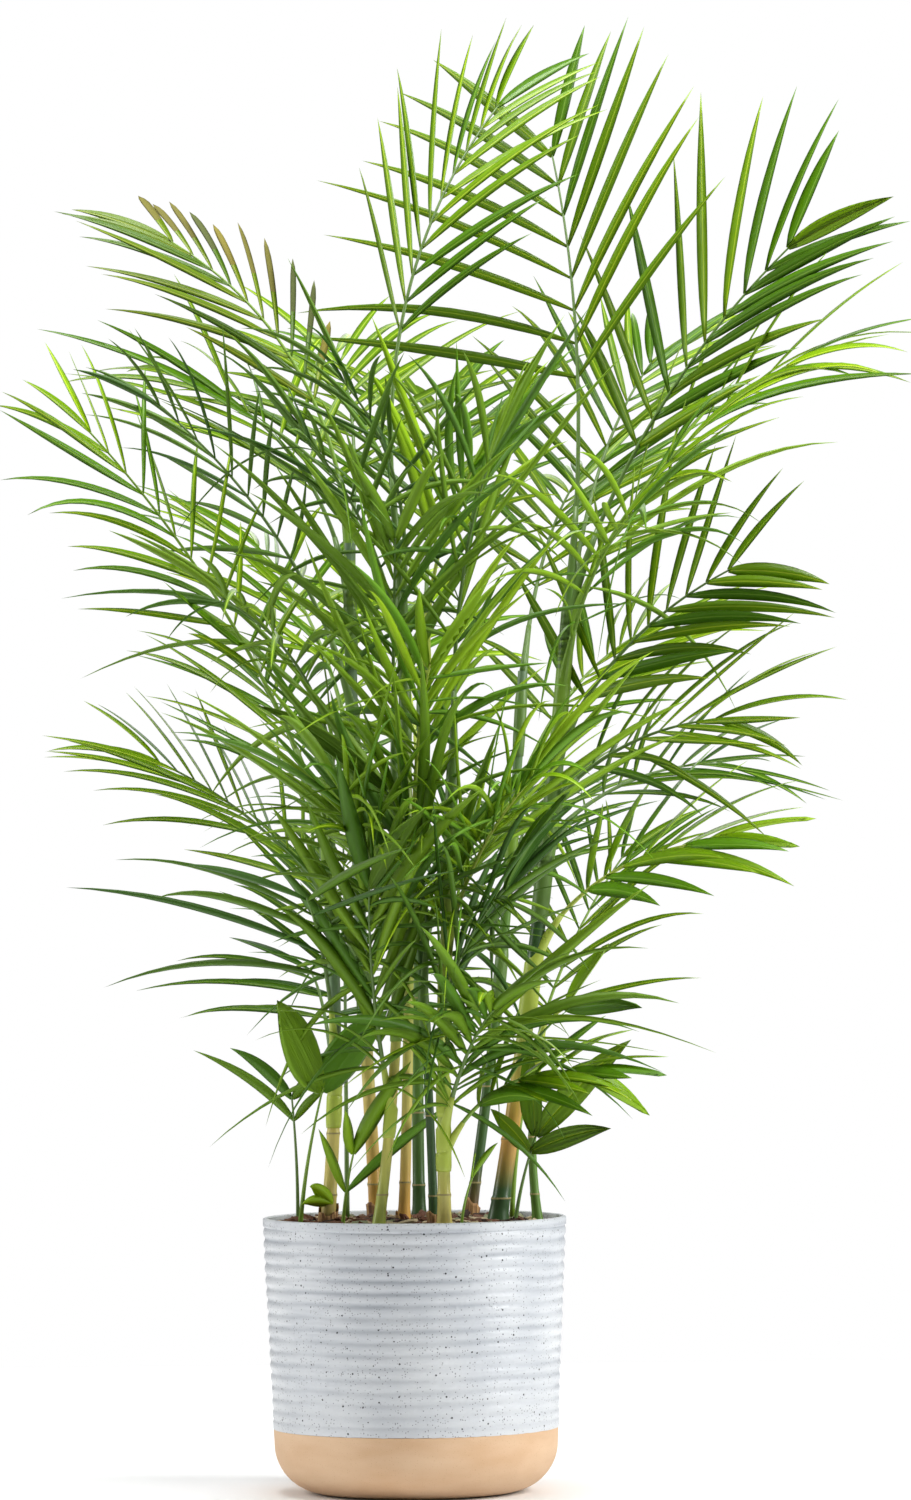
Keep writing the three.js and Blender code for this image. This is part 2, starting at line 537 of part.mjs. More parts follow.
function addRing(body, frond, share) {
  const { place, side, face } = frameAt(frond, share);
  const radius = stemRadius(frond, share);
  const low = place.clone().addScaledVector(face, radius * Math.cos(THIRD_TURN));
  const out = radius * Math.sin(THIRD_TURN);
  const ridge = body.point(place.clone().addScaledVector(face, radius));
  const left = body.point(low.clone().addScaledVector(side, out));
  const right = body.point(low.clone().addScaledVector(side, -out));
  return { ridge, left, right };
}

// The stem with the leaflets it has room for. A leaflet of null leaves its socket closed.
function frondBody(frond, leaflets) {
  const body = new Body();
  let ring = addRing(body, frond, 0);
  body.faces.push([ring.ridge, ring.left, ring.right]);
  const closeSide = (a, b, hand) => {
    const edge = hand > 0 ? 'left' : 'right';
    const faces = [[a.ridge, b.ridge, b[edge]], [a.ridge, b[edge], a[edge]]];
    for (const [p, q, r] of faces) body.faces.push(hand > 0 ? [p, q, r] : [p, r, q]);
  };
  const closeUnder = (a, b) => {
    body.faces.push([a.left, b.left, b.right], [a.left, b.right, a.right]);
  };
  const carryOn = (share, pair) => {
    const next = addRing(body, frond, share);
    for (const hand of [1, -1]) {
      const leaflet = pair === undefined ? null : leaflets[pair]?.[hand];
      const edge = hand > 0 ? 'left' : 'right';
      const socket = [ring.ridge, next.ridge, ring[edge], next[edge]];
      if (leaflet) growLeaflet(body, leaflet, socket, 0);
      else closeSide(ring, next, hand);
    }
    closeUnder(ring, next);
    ring = next;
  };
  const half = SOCKET / 2 / frond.reach;
  const first = pairShare(frond, 0) - half;
  for (let step = 1; step < STEM_STEPS; step += 1) {
    carryOn((first * step) / STEM_STEPS);
  }
  for (let pair = 0; pair < frond.pairs; pair += 1) {
    const share = pairShare(frond, pair);
    carryOn(share - half);
    carryOn(share + half, pair);
  }
  const tip = body.point(frond.curve.getPoint(1));
  body.faces.push([ring.ridge, tip, ring.left], [ring.ridge, ring.right, tip]);
  body.faces.push([ring.left, tip, ring.right]);
  return body;
}

// A set of triangles with boxes round them, to test one solid against another.
function obstacle(owner, triangles) {
  const faces = triangles.map((corners) => ({ corners, box: new Box3().setFromPoints(corners) }));
  const box = new Box3();
  for (const face of faces) box.union(face.box);
  return { owner, faces, box };
}

const probe = new Ray();
const hit = new Vector3();

function edgeCrosses(one, other) {
  for (let side = 0; side < 3; side += 1) {
    const from = one.corners[side];
    const to = one.corners[(side + 1) % 3];
    probe.origin.copy(from);
    probe.direction.copy(to).sub(from).normalize();
    const met = probe.intersectTriangle(...other.corners, false, hit);
    if (met && hit.distanceTo(from) <= from.distanceTo(to)) return true;
  }
  return false;
}

function solidsMeet(one, other) {
  if (!one.box.intersectsBox(other.box)) return false;
  for (const a of one.faces) {
    if (!a.box.intersectsBox(other.box)) continue;
    for (const b of other.faces) {
      if (!a.box.intersectsBox(b.box)) continue;
      if (edgeCrosses(a, b) || edgeCrosses(b, a)) return true;
    }
  }
  return false;
}

// The leaflet by itself, a little thicker than it is, from the ring before to the ring after.
function leafletProbe(frond, pair, hand, leaflet) {
  const body = new Body();
  const half = SOCKET / 2 / frond.reach;
  const before = addRing(body, frond, pairShare(frond, pair) - half);
  const after = addRing(body, frond, pairShare(frond, pair) + half);
  const edge = hand > 0 ? 'left' : 'right';
  growLeaflet(body, leaflet, [before.ridge, after.ridge, before[edge], after[edge]], LEAFLET_APART);
  return obstacle(`${frond.name} ${pair}`, body.triangles());
}

function fitLeaflet(frond, pair, hand, taken) {
  for (const [tilt, size] of CLEARING) {
    const leaflet = leafletShape(frond, pair, hand, tilt, size);
    const shape = leafletProbe(frond, pair, hand, leaflet);
    const own = (other) => other.owner === frond.name || other.owner === shape.owner;
    const aboveRim = shape.box.min.z > POT_HEIGHT + LEAFLET_APART;
    if (aboveRim && !taken.some((other) => !own(other) && solidsMeet(shape, other))) {
      taken.push(shape);
      return leaflet;
    }
  }
  return null;
}

makePot();
makeSoil();

const lines = Object.keys(CANES).map(caneLine);
const solids = [];
for (const [name, cane] of Object.entries(CANES)) {
  const body = caneBody(cane);
  addPiece(`cane_${name}`, body.geometry(), CANE);
  solids.push(obstacle(name, body.triangles()));
}
for (const frond of FRONDS) {
  layStem(frond, lines);
  solids.push(obstacle(frond.name, frondBody(frond, []).triangles()));
}
for (const frond of FRONDS) {
  const leaflets = [];
  for (let pair = 0; pair < frond.pairs; pair += 1) {
    const left = fitLeaflet(frond, pair, 1, solids);
    const right = fitLeaflet(frond, pair, -1, solids);
    leaflets.push({ 1: left, [-1]: right });
  }
  addPiece(frond.name, frondBody(frond, leaflets).geometry(), LEAF);
}

export default palm;
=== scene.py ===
import math
import random

import bpy
import numpy as np
from mathutils import Matrix, Vector, noise


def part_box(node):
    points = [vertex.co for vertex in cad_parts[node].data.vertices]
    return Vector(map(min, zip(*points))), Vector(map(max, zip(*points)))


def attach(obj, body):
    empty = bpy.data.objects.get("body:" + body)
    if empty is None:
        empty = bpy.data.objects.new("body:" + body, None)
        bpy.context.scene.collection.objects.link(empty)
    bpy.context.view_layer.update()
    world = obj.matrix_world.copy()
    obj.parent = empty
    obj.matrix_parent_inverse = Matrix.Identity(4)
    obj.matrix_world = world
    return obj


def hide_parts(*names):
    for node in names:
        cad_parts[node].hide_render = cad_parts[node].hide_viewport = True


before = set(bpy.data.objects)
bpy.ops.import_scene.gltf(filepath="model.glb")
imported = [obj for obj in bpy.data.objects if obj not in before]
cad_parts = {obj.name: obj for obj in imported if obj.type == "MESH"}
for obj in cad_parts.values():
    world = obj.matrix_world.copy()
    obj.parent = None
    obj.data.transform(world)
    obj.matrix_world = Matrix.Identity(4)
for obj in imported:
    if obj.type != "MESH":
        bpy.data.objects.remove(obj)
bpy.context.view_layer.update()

# Camera. It stands a little above the planter and looks level into the crown from 5.2 m, as for
# a catalogue picture. The picture is turned half a degree, so the planter's axis leans left.
PICTURE_HIGH = 1500
FOCAL_PIXELS = 6076
SENSOR = 36
EYE = Vector((0.0387, -5.21, 0.48))
AIM = Vector((0.0387, 0, 0.633))
PICTURE_TURN = math.radians(0.5)

bpy.ops.object.select_all(action="DESELECT")
bpy.ops.object.camera_add(location=EYE)
camera = bpy.context.object
camera.data.sensor_width = SENSOR
camera.data.lens = FOCAL_PIXELS * SENSOR / PICTURE_HIGH
camera.data.clip_end = 50
look = (AIM - EYE).to_track_quat("-Z", "Y").to_matrix()
camera.matrix_world = Matrix.Translation(EYE) @ (look @ Matrix.Rotation(-PICTURE_TURN, 3, "Z")).to_4x4()
bpy.context.scene.camera = camera


# Planter body. A stoneware cylinder thrown on a wheel, under a pale satin glaze with iron
# specks. The potter's fingers left level ribs up its wall, and the lip is rounded off.
POT_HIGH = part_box("pot")[1].z
RIM_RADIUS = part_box("pot")[1].x
WALL = 0.005
FLOOR = 0.009
FLOOR_RADIUS = 0.075
LIP = 0.0016
FOOT_RADIUS = 0.080
CORNER_HIGH = 0.042
CORNER_RADIUS = 0.1215
GLAZE_EDGE = 0.0545
RIB_START = 0.061
RIB_PITCH = 0.01035
RIB_COUNT = 16
RIB_DEPTHS = (0.0008, 0.0015)  # of the lowest groove and the highest
RIB_NARROW = 1.6
RIB_POINTS = 8
POT_SIDES = 144
LIP_POINTS = 5
INSIDE_HEIGHTS = (0.225, 0.215, 0.150, 0.100)
SEAM = 0.00002  # points closer than this are one
SHARP = math.radians(50)  # edges sharper than this stay crisp


def lerp(low, high, share):
    return low + (high - low) * share


def wall_radius(height):
    """The planter's outer radius at a height: a round bottom corner, then a straight flare."""
    if height < CORNER_HIGH:
        drop = 1 - height / CORNER_HIGH
        return FOOT_RADIUS + (CORNER_RADIUS - FOOT_RADIUS) * math.sqrt(1 - drop * drop)
    share = (height - CORNER_HIGH) / (POT_HIGH - CORNER_HIGH)
    return lerp(CORNER_RADIUS, RIM_RADIUS, share)


def rib_cut(height):
    """How deep the groove between two throwing ribs is at a height."""
    ribs = (height - RIB_START) / RIB_PITCH
    if not 0 < ribs < RIB_COUNT:
        return 0
    groove = (0.5 + 0.5 * math.cos(2 * math.pi * ribs)) ** RIB_NARROW
    return lerp(*RIB_DEPTHS, ribs / RIB_COUNT) * groove


def turn_on_wheel(name, profile):
    """A profile of (radius, height) points, drawn point by point and spun round the Z axis."""
    bpy.ops.object.select_all(action="DESELECT")
    bpy.ops.mesh.primitive_plane_add(size=WALL)
    piece = bpy.context.object
    piece.name = name
    bpy.ops.object.mode_set(mode="EDIT")
    bpy.ops.mesh.merge(type="CENTER")
    radius, height = profile[0]
    bpy.ops.transform.translate(value=(radius, 0, height))
    for (r0, z0), (r1, z1) in zip(profile, profile[1:]):
        step = (r1 - r0, 0, z1 - z0)
        bpy.ops.mesh.extrude_region_move(TRANSFORM_OT_translate={"value": step})
    bpy.ops.mesh.select_all(action="SELECT")
    bpy.ops.mesh.spin(steps=POT_SIDES, angle=2 * math.pi, center=(0, 0, 0), axis=(0, 0, 1))
    bpy.ops.mesh.select_all(action="SELECT")
    bpy.ops.mesh.remove_doubles(threshold=SEAM)
    bpy.ops.mesh.normals_make_consistent(inside=False)
    bpy.ops.object.mode_set(mode="OBJECT")
    bpy.ops.object.shade_smooth_by_angle(angle=SHARP)
    return piece


def linear(red, green, blue):
    """A colour as it looks on screen, 0 to 255, as the renderer's own numbers."""
    shares = (red / 255, green / 255, blue / 255)
    return tuple(v / 12.92 if v < 0.04045 else ((v + 0.055) / 1.055) ** 2.4 for v in shares) + (1,)


class Finish:
    """A material being mixed: its surface shader and short ways to wire patterns into it."""

    def __init__(self, name, colour, roughness):
        self.material = bpy.data.materials.new(name)
        self.material.use_nodes = True
        self.tree = self.material.node_tree
        self.surface = self.tree.nodes["Principled BSDF"]
        self.surface.inputs["Base Color"].default_value = colour
        self.surface.inputs["Roughness"].default_value = roughness
        self.place = self.tree.nodes.new("ShaderNodeTexCoord").outputs["Object"]

    def node(self, kind, inputs=(), **settings):
        """A new node with its settings made and its inputs, by name, set or linked."""
        node = self.tree.nodes.new(kind)
        for name, value in settings.items():
            setattr(node, name, value)
        for name, value in dict(inputs).items():
            if isinstance(value, bpy.types.NodeSocket):
                self.tree.links.new(value, node.inputs[name])
            else:
                node.inputs[name].default_value = value
        return node

    def grain(self, scale, detail=3, stretch=(1, 1, 1)):
        """Soft noise, stretched along an axis where that axis's number is low."""
        mapping = self.node("ShaderNodeMapping", {"Vector": self.place, "Scale": stretch})
        inputs = {"Vector": mapping.outputs[0], "Scale": scale, "Detail": detail}
        return self.node("ShaderNodeTexNoise", inputs).outputs["Fac"]

    def between(self, value, low, high, out_low=0, out_high=1):
        """value's stretch from low to high, spread to out_low to out_high and held there."""
        inputs = {"Value": value, "From Min": low, "From Max": high}
        inputs.update({"To Min": out_low, "To Max": out_high})
        return self.node("ShaderNodeMapRange", inputs).outputs[0]

    def times(self, one, other):
        return self.node("ShaderNodeMath", {0: one, 1: other}, operation="MULTIPLY").outputs[0]

    def blend(self, share, one, other):
        """One colour turning into another as share goes from 0 to 1."""
        inputs = {0: share, 6: one, 7: other}
        return self.node("ShaderNodeMix", inputs, data_type="RGBA").outputs[2]

    def wire(self, socket, value):
        self.tree.links.new(value, self.surface.inputs[socket])

    def relief(self, height, depth):
        """Fine relief of the surface, depth in metres."""
        bump = self.node("ShaderNodeBump", {"Height": height, "Distance": depth})
        self.wire("Normal", bump.outputs[0])

    def specks(self, scale, size, kept):
        """Round specks of one size, one in each cell of the surface that is kept."""
        inputs = {"Vector": self.place, "Scale": scale}
        cells = self.node("ShaderNodeTexVoronoi", inputs)
        near = self.node("ShaderNodeMath", {0: cells.outputs["Distance"], 1: size}, operation="LESS_THAN")
        split = self.node("ShaderNodeSeparateColor", {"Color": cells.outputs["Color"]})
        chosen = self.node("ShaderNodeMath", {0: split.outputs[0], 1: kept}, operation="LESS_THAN")
        return self.times(near.outputs[0], chosen.outputs[0])


def dress(piece, slot, *finishes):
    """Gives a piece its finishes and its place on the planted pot."""
    for finish in finishes:
        piece.data.materials.append(finish.material)
    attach(piece, "root")


rib_step = RIB_PITCH / RIB_POINTS
steps_up = round((POT_HIGH - LIP - GLAZE_EDGE) / rib_step)
heights_up = np.linspace(GLAZE_EDGE, POT_HIGH - LIP, steps_up)
outside = [(wall_radius(height) - rib_cut(height), height) for height in heights_up]
lip_middle = RIM_RADIUS - WALL / 2
lip_turns = [math.pi * step / (LIP_POINTS + 1) for step in range(1, LIP_POINTS + 1)]
lip = [(lip_middle + math.cos(t) * WALL / 2, POT_HIGH - LIP + math.sin(t) * LIP) for t in lip_turns]
inside = [(wall_radius(h) - WALL, h) for h in (POT_HIGH - LIP, *INSIDE_HEIGHTS, GLAZE_EDGE)]
planter = turn_on_wheel("planter_body", outside + lip + inside + outside[:1])

WOBBLE = 0.00022  # how far the thrown wall strays from a true circle
for vertex in planter.data.vertices:
    turn = math.atan2(vertex.co.y, vertex.co.x)
    stray = math.sin(2 * turn + 40 * vertex.co.z) + 0.6 * math.sin(5 * turn - 75 * vertex.co.z)
    out = Vector((math.cos(turn), math.sin(turn), 0))
    vertex.co += out * WOBBLE * stray
    if GLAZE_EDGE < vertex.co.z < POT_HIGH - 2 * LIP:
        vertex.co.z += WOBBLE * 1.5 * math.sin(turn + 55 * vertex.co.z)

# The glaze runs off the ribs and pools a little greyer in the grooves between them; the grey is also painted
# shade, standing in for the shadow in the grooves.
glaze = Finish("speckled_glaze", linear(196, 199, 203), 0.34)
cloudy = glaze.between(glaze.grain(14), 0.35, 0.65)
pale = glaze.blend(cloudy, linear(188, 192, 197), linear(202, 205, 208))
wall_height = glaze.node("ShaderNodeSeparateXYZ", {"Vector": glaze.place}).outputs["Z"]
rib_turn = glaze.between(wall_height, RIB_START, RIB_START + RIB_PITCH, 0, 2 * math.pi)
rib_turn.node.clamp = False
rib_wave = glaze.node("ShaderNodeMath", {0: rib_turn}, operation="COSINE").outputs[0]
# Groove grey: partly glaze pooling, partly painted shade in the grooves.
uneven_pooling_and_shade = glaze.between(glaze.grain(11, 3, (1, 1, 5)), 0.35, 0.6, 0, 0.6)
groove_pooling_and_shade = glaze.times(glaze.between(rib_wave, -0.6, 1), uneven_pooling_and_shade)
# The glaze pooling and painted shade grow stronger up the wall.
above_ribs = glaze.between(wall_height, RIB_START, RIB_START + 9 * RIB_PITCH, 0.3, 1)
pale = glaze.blend(glaze.times(groove_pooling_and_shade, above_ribs), pale, linear(146, 152, 160))
fine_specks = glaze.specks(480, 0.26, 0.4)
big_specks = glaze.specks(230, 0.2, 0.14)
specked = glaze.blend(fine_specks, pale, linear(132, 134, 138))
glaze.wire("Base Color", glaze.blend(big_specks, specked, linear(48, 47, 50)))
glaze.wire("Roughness", glaze.between(glaze.grain(60), 0.3, 0.7, 0.3, 0.46))
glaze.relief(glaze.grain(260, 4), 0.0006)
dress(planter, "glaze", glaze)
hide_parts("pot")


# Planter foot. Below the glaze line the wall is bare fired clay, a smooth matte peach tan, that
# rounds in to the flat underside the planter stands on. It is one with the body above it.
BARE_INSET = 0.0003
CORNER_STEP = 6  # degrees round the bottom corner from ring to ring
BAND_HEIGHTS = (0.046, 0.050)
HOLLOW_HEIGHTS = (0.045, 0.030, 0.018)
corner_turns = [math.radians(angle) for angle in range(CORNER_STEP, 91, CORNER_STEP)]
foot_heights = [0] + [CORNER_HIGH * (1 - math.cos(turn)) for turn in corner_turns]
foot_heights += [*BAND_HEIGHTS, GLAZE_EDGE]
foot_out = [(0, 0)] + [(wall_radius(h) - BARE_INSET, h) for h in foot_heights]
foot_in = [(wall_radius(h) - WALL, h) for h in (GLAZE_EDGE, *HOLLOW_HEIGHTS)]
foot = turn_on_wheel("planter_foot", foot_out + foot_in + [(FLOOR_RADIUS, FLOOR), (0, FLOOR)])

clay = Finish("bare_clay", linear(208, 174, 139), 0.78)
drift = clay.between(clay.grain(16, 4, (1, 1, 3)), 0.3, 0.7)
warm = clay.blend(drift, linear(202, 166, 130), linear(214, 183, 150))
grog = clay.specks(700, 0.22, 0.3)
clay.wire("Base Color", clay.blend(clay.times(grog, clay.grain(90)), warm, linear(176, 134, 100)))
clay.relief(clay.grain(900, 2), 0.00012)
dress(foot, "clay", clay)
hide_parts("pot")


# Potting mix. Damp bark and fibre, heaped a little in the middle, that fills the planter to just
# under its lip. It is poured in round the roots and pressed down by hand.
MIX_EDGE_HIGH = 0.2268
MIX_HEAP = 0.0045
MIX_LUMP = 0.0022
MIX_LUMPS = 90  # for each metre
MIX_RINGS = 46
MIX_SIDE_HEIGHTS = (0.024, 0.050, 0.150, MIX_EDGE_HIGH)
mix_side = [(wall_radius(h) - WALL - BARE_INSET, h) for h in MIX_SIDE_HEIGHTS]
mix_radius = mix_side[-1][0]
mix_radii = [mix_radius * (1 - step / MIX_RINGS) for step in range(1, MIX_RINGS + 1)]


def mix_level(radius):
    """Height of the heaped potting mix at a distance from the planter's axis."""
    return MIX_EDGE_HIGH + MIX_HEAP * (1 - (radius / mix_radius) ** 2)


mix_top = [(radius, mix_level(radius)) for radius in mix_radii]
mix_floor = [(0, FLOOR + BARE_INSET), (FLOOR_RADIUS, FLOOR + BARE_INSET)]
mix = turn_on_wheel("potting_mix", mix_floor + mix_side + mix_top)
for vertex in mix.data.vertices:
    on_top = vertex.co.z > MIX_EDGE_HIGH - 0.0001
    if on_top and vertex.co.xy.length < mix_radius - 0.001:
        vertex.co.z += MIX_LUMP * noise.fractal(vertex.co * MIX_LUMPS, 0.8, 2.2, 4)

earth = Finish("potting_mix_fibre", linear(70, 48, 34), 0.95)
crumbs = earth.between(earth.grain(260, 5), 0.35, 0.68)
damp = earth.blend(crumbs, linear(44, 29, 20), linear(104, 74, 50))
green = earth.between(earth.grain(22), 0.56, 0.68)
earth.wire("Base Color", earth.blend(green, damp, linear(116, 116, 84)))
earth.relief(earth.grain(420, 6), 0.002)
dress(mix, "potting_mix", earth)
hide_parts("soil")


# Bark chips. Chunks of shredded bark from a few millimetres to two centimetres that lie in the
# top of the mix at all angles, red brown, dark, and some grey green or bleached.
CHIP_COUNT = 620
CHIP_LONG = (0.006, 0.019)
CHIP_WIDE = (0.3, 0.6)  # as a share of its length, and its thickness too
CHIP_THICK = (0.12, 0.3)
CHIP_RISE = (-0.2, 0.5)  # of its middle above the mix, as a share of its thickness
CHIP_LEANS = (0.3, 0.25)
CHIP_SPIN = 6.3
CHIP_SPREAD = 0.97  # share of the mix's radius that they reach
CHIP_ROUGH = 0.13
CHIP_TRIM = 0.22  # how far its sharpest corners are worn back
CHIP_TRIM_FROM = 0.55
CHIP_TRIM_OVER = 0.32
CHIP_TINT_SHARES = (5, 3, 2, 2)
chip_dice = random.Random(11)

bpy.ops.object.select_all(action="DESELECT")
bpy.ops.mesh.primitive_cube_add(size=1)
chip_form = bpy.context.object
bpy.ops.object.mode_set(mode="EDIT")
bpy.ops.mesh.subdivide(number_cuts=1)
bpy.ops.object.mode_set(mode="OBJECT")
chip_corners = [vertex.co.copy() for vertex in chip_form.data.vertices]
chip_faces = [tuple(polygon.vertices) for polygon in chip_form.data.polygons]
bpy.data.objects.remove(chip_form)


class Joined:
    """Points, faces, slots and surface marks of many small things that become one piece."""

    def __init__(self):
        self.points = []
        self.faces = []
        self.slots = []
        self.marks = []

    def add(self, points, faces, slots, marks=None):
        base = len(self.points)
        self.points.extend(points)
        self.faces.extend(tuple(corner + base for corner in face) for face in faces)
        self.slots.extend(slots)
        self.marks.extend(marks or [(0, 0)] * len(points))

    def piece(self, name, smooth=True):
        mesh = bpy.data.meshes.new(name)
        mesh.from_pydata(self.points, [], self.faces)
        mesh.polygons.foreach_set("material_index", self.slots)
        layer = mesh.uv_layers.new(name="UVMap")
        for loop in mesh.loops:
            layer.data[loop.index].uv = self.marks[loop.vertex_index]
        mesh.polygons.foreach_set("use_smooth", [smooth] * len(self.faces))
        mesh.validate()
        piece = bpy.data.objects.new(name, mesh)
        bpy.context.collection.objects.link(piece)
        return piece


chips = Joined()
for _ in range(CHIP_COUNT):
    spot = mix_radius * CHIP_SPREAD * math.sqrt(chip_dice.random())
    turn = chip_dice.uniform(0, 2 * math.pi)
    long = chip_dice.uniform(*CHIP_LONG)
    size = Vector((long, long * chip_dice.uniform(*CHIP_WIDE), long * chip_dice.uniform(*CHIP_THICK)))
    level = mix_level(spot) + size.z * chip_dice.uniform(*CHIP_RISE)
    lean = Matrix.Rotation(chip_dice.gauss(0, CHIP_LEANS[0]), 3, "X")
    lean = lean @ Matrix.Rotation(chip_dice.gauss(0, CHIP_LEANS[1]), 3, "Y")
    spin = Matrix.Rotation(chip_dice.uniform(0, CHIP_SPIN), 3, "Z")
    middle = Vector((spot * math.cos(turn), spot * math.sin(turn), level))
    corners = []
    for corner in chip_corners:
        rough = Vector([chip_dice.uniform(-CHIP_ROUGH, CHIP_ROUGH) for _ in range(3)])
        worn = 1 - CHIP_TRIM * max(0, corner.length - CHIP_TRIM_FROM) / CHIP_TRIM_OVER
        corners.append(spin @ lean @ ((corner + rough) * worn * size) + middle)
    tint = chip_dice.choices(range(4), weights=CHIP_TINT_SHARES)[0]
    chips.add(corners, chip_faces, [tint] * len(chip_faces))


def grained(colours, roughness, grain, depth):
    """One finish for each named colour, all with the same grain as their relief."""
    finishes = []
    for name, colour in colours.items():
        finish = Finish(name, linear(*colour), roughness)
        finish.relief(finish.grain(*grain), depth)
        finishes.append(finish)
    return finishes


BARK_COLOURS = {
    "bark_red_brown": (96, 60, 40), "bark_dark": (54, 37, 28),
    "bark_grey_green": (122, 124, 92), "bark_bleached": (178, 160, 128),
}
bark = chips.piece("bark_chips", smooth=False)
dress(bark, "potting_mix", *grained(BARK_COLOURS, 0.9, (600, 5, (1, 1, 0.4)), 0.0012))
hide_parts("soil")


# Canes. Smooth waxy green stems, ringed where old leaves fell, yellowing to orange near the
# foot. Each rises from the mix with a slightly swollen base and tapers to its crown.
MIX_TOP = 0.229
FOOT_SWELL = 0.3
FOOT_SWELL_HIGH = 0.014
RING_SWELL = 1.1
RING_LEVELS = (  # offset from the ring, swell, and whether its scar starts here
    (-0.003, 1.01, False), (-0.0008, RING_SWELL, True), (0.0006, 1.08, False), (0.0022, 0.99, False),
)
CANE_SIDES = 16
CANE_STEP = 0.022
CANE_SUNK = 0.004
CANE_SHARP = math.radians(60)
JOINT_GROWTH = 1.22  # each joint is this much longer than the last
JOINT_MOST = 0.1
BARE_TOP = 0.03
SCAR_HIGH = 0.0012

CANE_TINTS = {
    "deep": linear(52, 84, 40), "green": linear(92, 130, 48), "grey": linear(104, 128, 96),
    "lime": linear(160, 176, 76), "yellow": linear(206, 190, 104), "orange": linear(214, 160, 74),
    "olive": linear(120, 116, 52), "brown": linear(110, 78, 44),
}

# Each cane's foot and top on its middle line, sideways bow, radii, first joint's length, and its
# tints by share of the way up.
CANES = {
    "main": dict(
        foot=(0.071, 0), top=(0.139, 0.012, 0.775), bow=(0.006, 0.004), radii=(0.0074, 0.0050),
        joint=0.040, tints=[(0, "deep"), (0.05, "deep"), (0.07, "olive"), (0.13, "orange"), (0.3, "lime"),
                            (0.36, "green"), (0.42, "deep"), (0.7, "deep"), (0.8, "grey"), (1, "green")],
    ),
    "left": dict(
        foot=(-0.074, -0.018), top=(-0.074, -0.022, 0.575), bow=(0.008, 0), radii=(0.0058, 0.0042),
        joint=0.050, tints=[(0, "brown"), (0.06, "yellow"), (0.3, "yellow"), (0.5, "grey"), (1, "green")],
    ),
    "back_left": dict(
        foot=(-0.033, 0.072), top=(-0.052, 0.055, 0.815), bow=(-0.004, 0.006), radii=(0.0058, 0.0044),
        joint=0.060, tints=[(0, "orange"), (0.2, "yellow"), (0.4, "grey"), (1, "grey")],
    ),
    "front_left": dict(
        foot=(-0.030, -0.084), top=(-0.014, -0.062, 0.610), bow=(0.010, 0), radii=(0.0046, 0.0038),
        joint=0.055, tints=[(0, "lime"), (0.3, "yellow"), (0.5, "lime"), (1, "green")],
    ),
    "middle": dict(
        foot=(-0.009, -0.014), top=(-0.008, -0.008, 0.800), bow=(0.006, -0.006), radii=(0.0046, 0.0040),
        joint=0.070, tints=[(0, "orange"), (0.15, "yellow"), (0.4, "lime"), (1, "grey")],
    ),
    "back_middle": dict(
        foot=(0.004, 0.046), top=(0.014, 0.052, 0.742), bow=(-0.004, 0.008), radii=(0.0052, 0.0042),
        joint=0.060, tints=[(0, "deep"), (0.3, "green"), (0.6, "grey"), (1, "grey")],
    ),
    "front_dark": dict(
        foot=(0.017, -0.056), top=(0.002, -0.058, 0.545), bow=(0.002, -0.004), radii=(0.0038, 0.0032),
        joint=0.050, tints=[(0, "deep"), (0.5, "deep"), (1, "green")],
    ),
    "front": dict(
        foot=(0.026, -0.092), top=(0.038, -0.076, 0.640), bow=(-0.004, -0.008), radii=(0.0054, 0.0040),
        joint=0.055, tints=[(0, "yellow"), (0.2, "lime"), (0.5, "lime"), (1, "green")],
    ),
    "back_right": dict(
        foot=(0.048, 0.084), top=(0.098, 0.108, 0.705), bow=(0.006, 0.006), radii=(0.0048, 0.0040),
        joint=0.060, tints=[(0, "brown"), (0.1, "deep"), (0.6, "green"), (1, "grey")],
    ),
    "right": dict(
        foot=(0.106, 0.022), top=(0.112, 0.020, 0.398), bow=(-0.007, 0), radii=(0.0038, 0.0030),
        joint=0.045, tints=[(0, "green"), (1, "green")],
    ),
}


def cane_at(cane, height):
    """Middle and radius of a cane at a height, bowed to one side and swollen at its foot."""
    share = min(max((height - MIX_TOP) / (cane["top"][2] - MIX_TOP), 0), 1)
    foot = Vector((*cane["foot"], MIX_TOP))
    middle = foot.lerp(Vector(cane["top"]), share)
    middle += Vector((*cane["bow"], 0)) * 4 * share * (1 - share)
    swell = 1 + FOOT_SWELL * math.exp(-(height - MIX_TOP) / FOOT_SWELL_HIGH)
    return middle, lerp(*cane["radii"], share) * swell


def cane_levels(cane, dice):
    """Heights up a cane, each with its swell and whether a ring scar lies just above it."""
    low = MIX_TOP - CANE_SUNK
    top = cane["top"][2]
    levels = [(low, 1, False)]
    joint = cane["joint"]
    ring = MIX_TOP + joint * 0.5
    while ring < top - BARE_TOP:
        last = levels[-1][0]
        count = int((ring - last) / CANE_STEP) + 1
        levels += [(lerp(last, ring, step / count), 1, False) for step in range(1, count)]
        levels += [(ring + offset, swell, is_scar) for offset, swell, is_scar in RING_LEVELS]
        joint = min(joint * JOINT_GROWTH, JOINT_MOST)
        ring += joint * dice.uniform(0.85, 1.15)
    last = levels[-1][0]
    count = max(int((top - last) / CANE_STEP), 1)
    levels += [(lerp(last, top, step / count), 1, False) for step in range(1, count + 1)]
    return levels


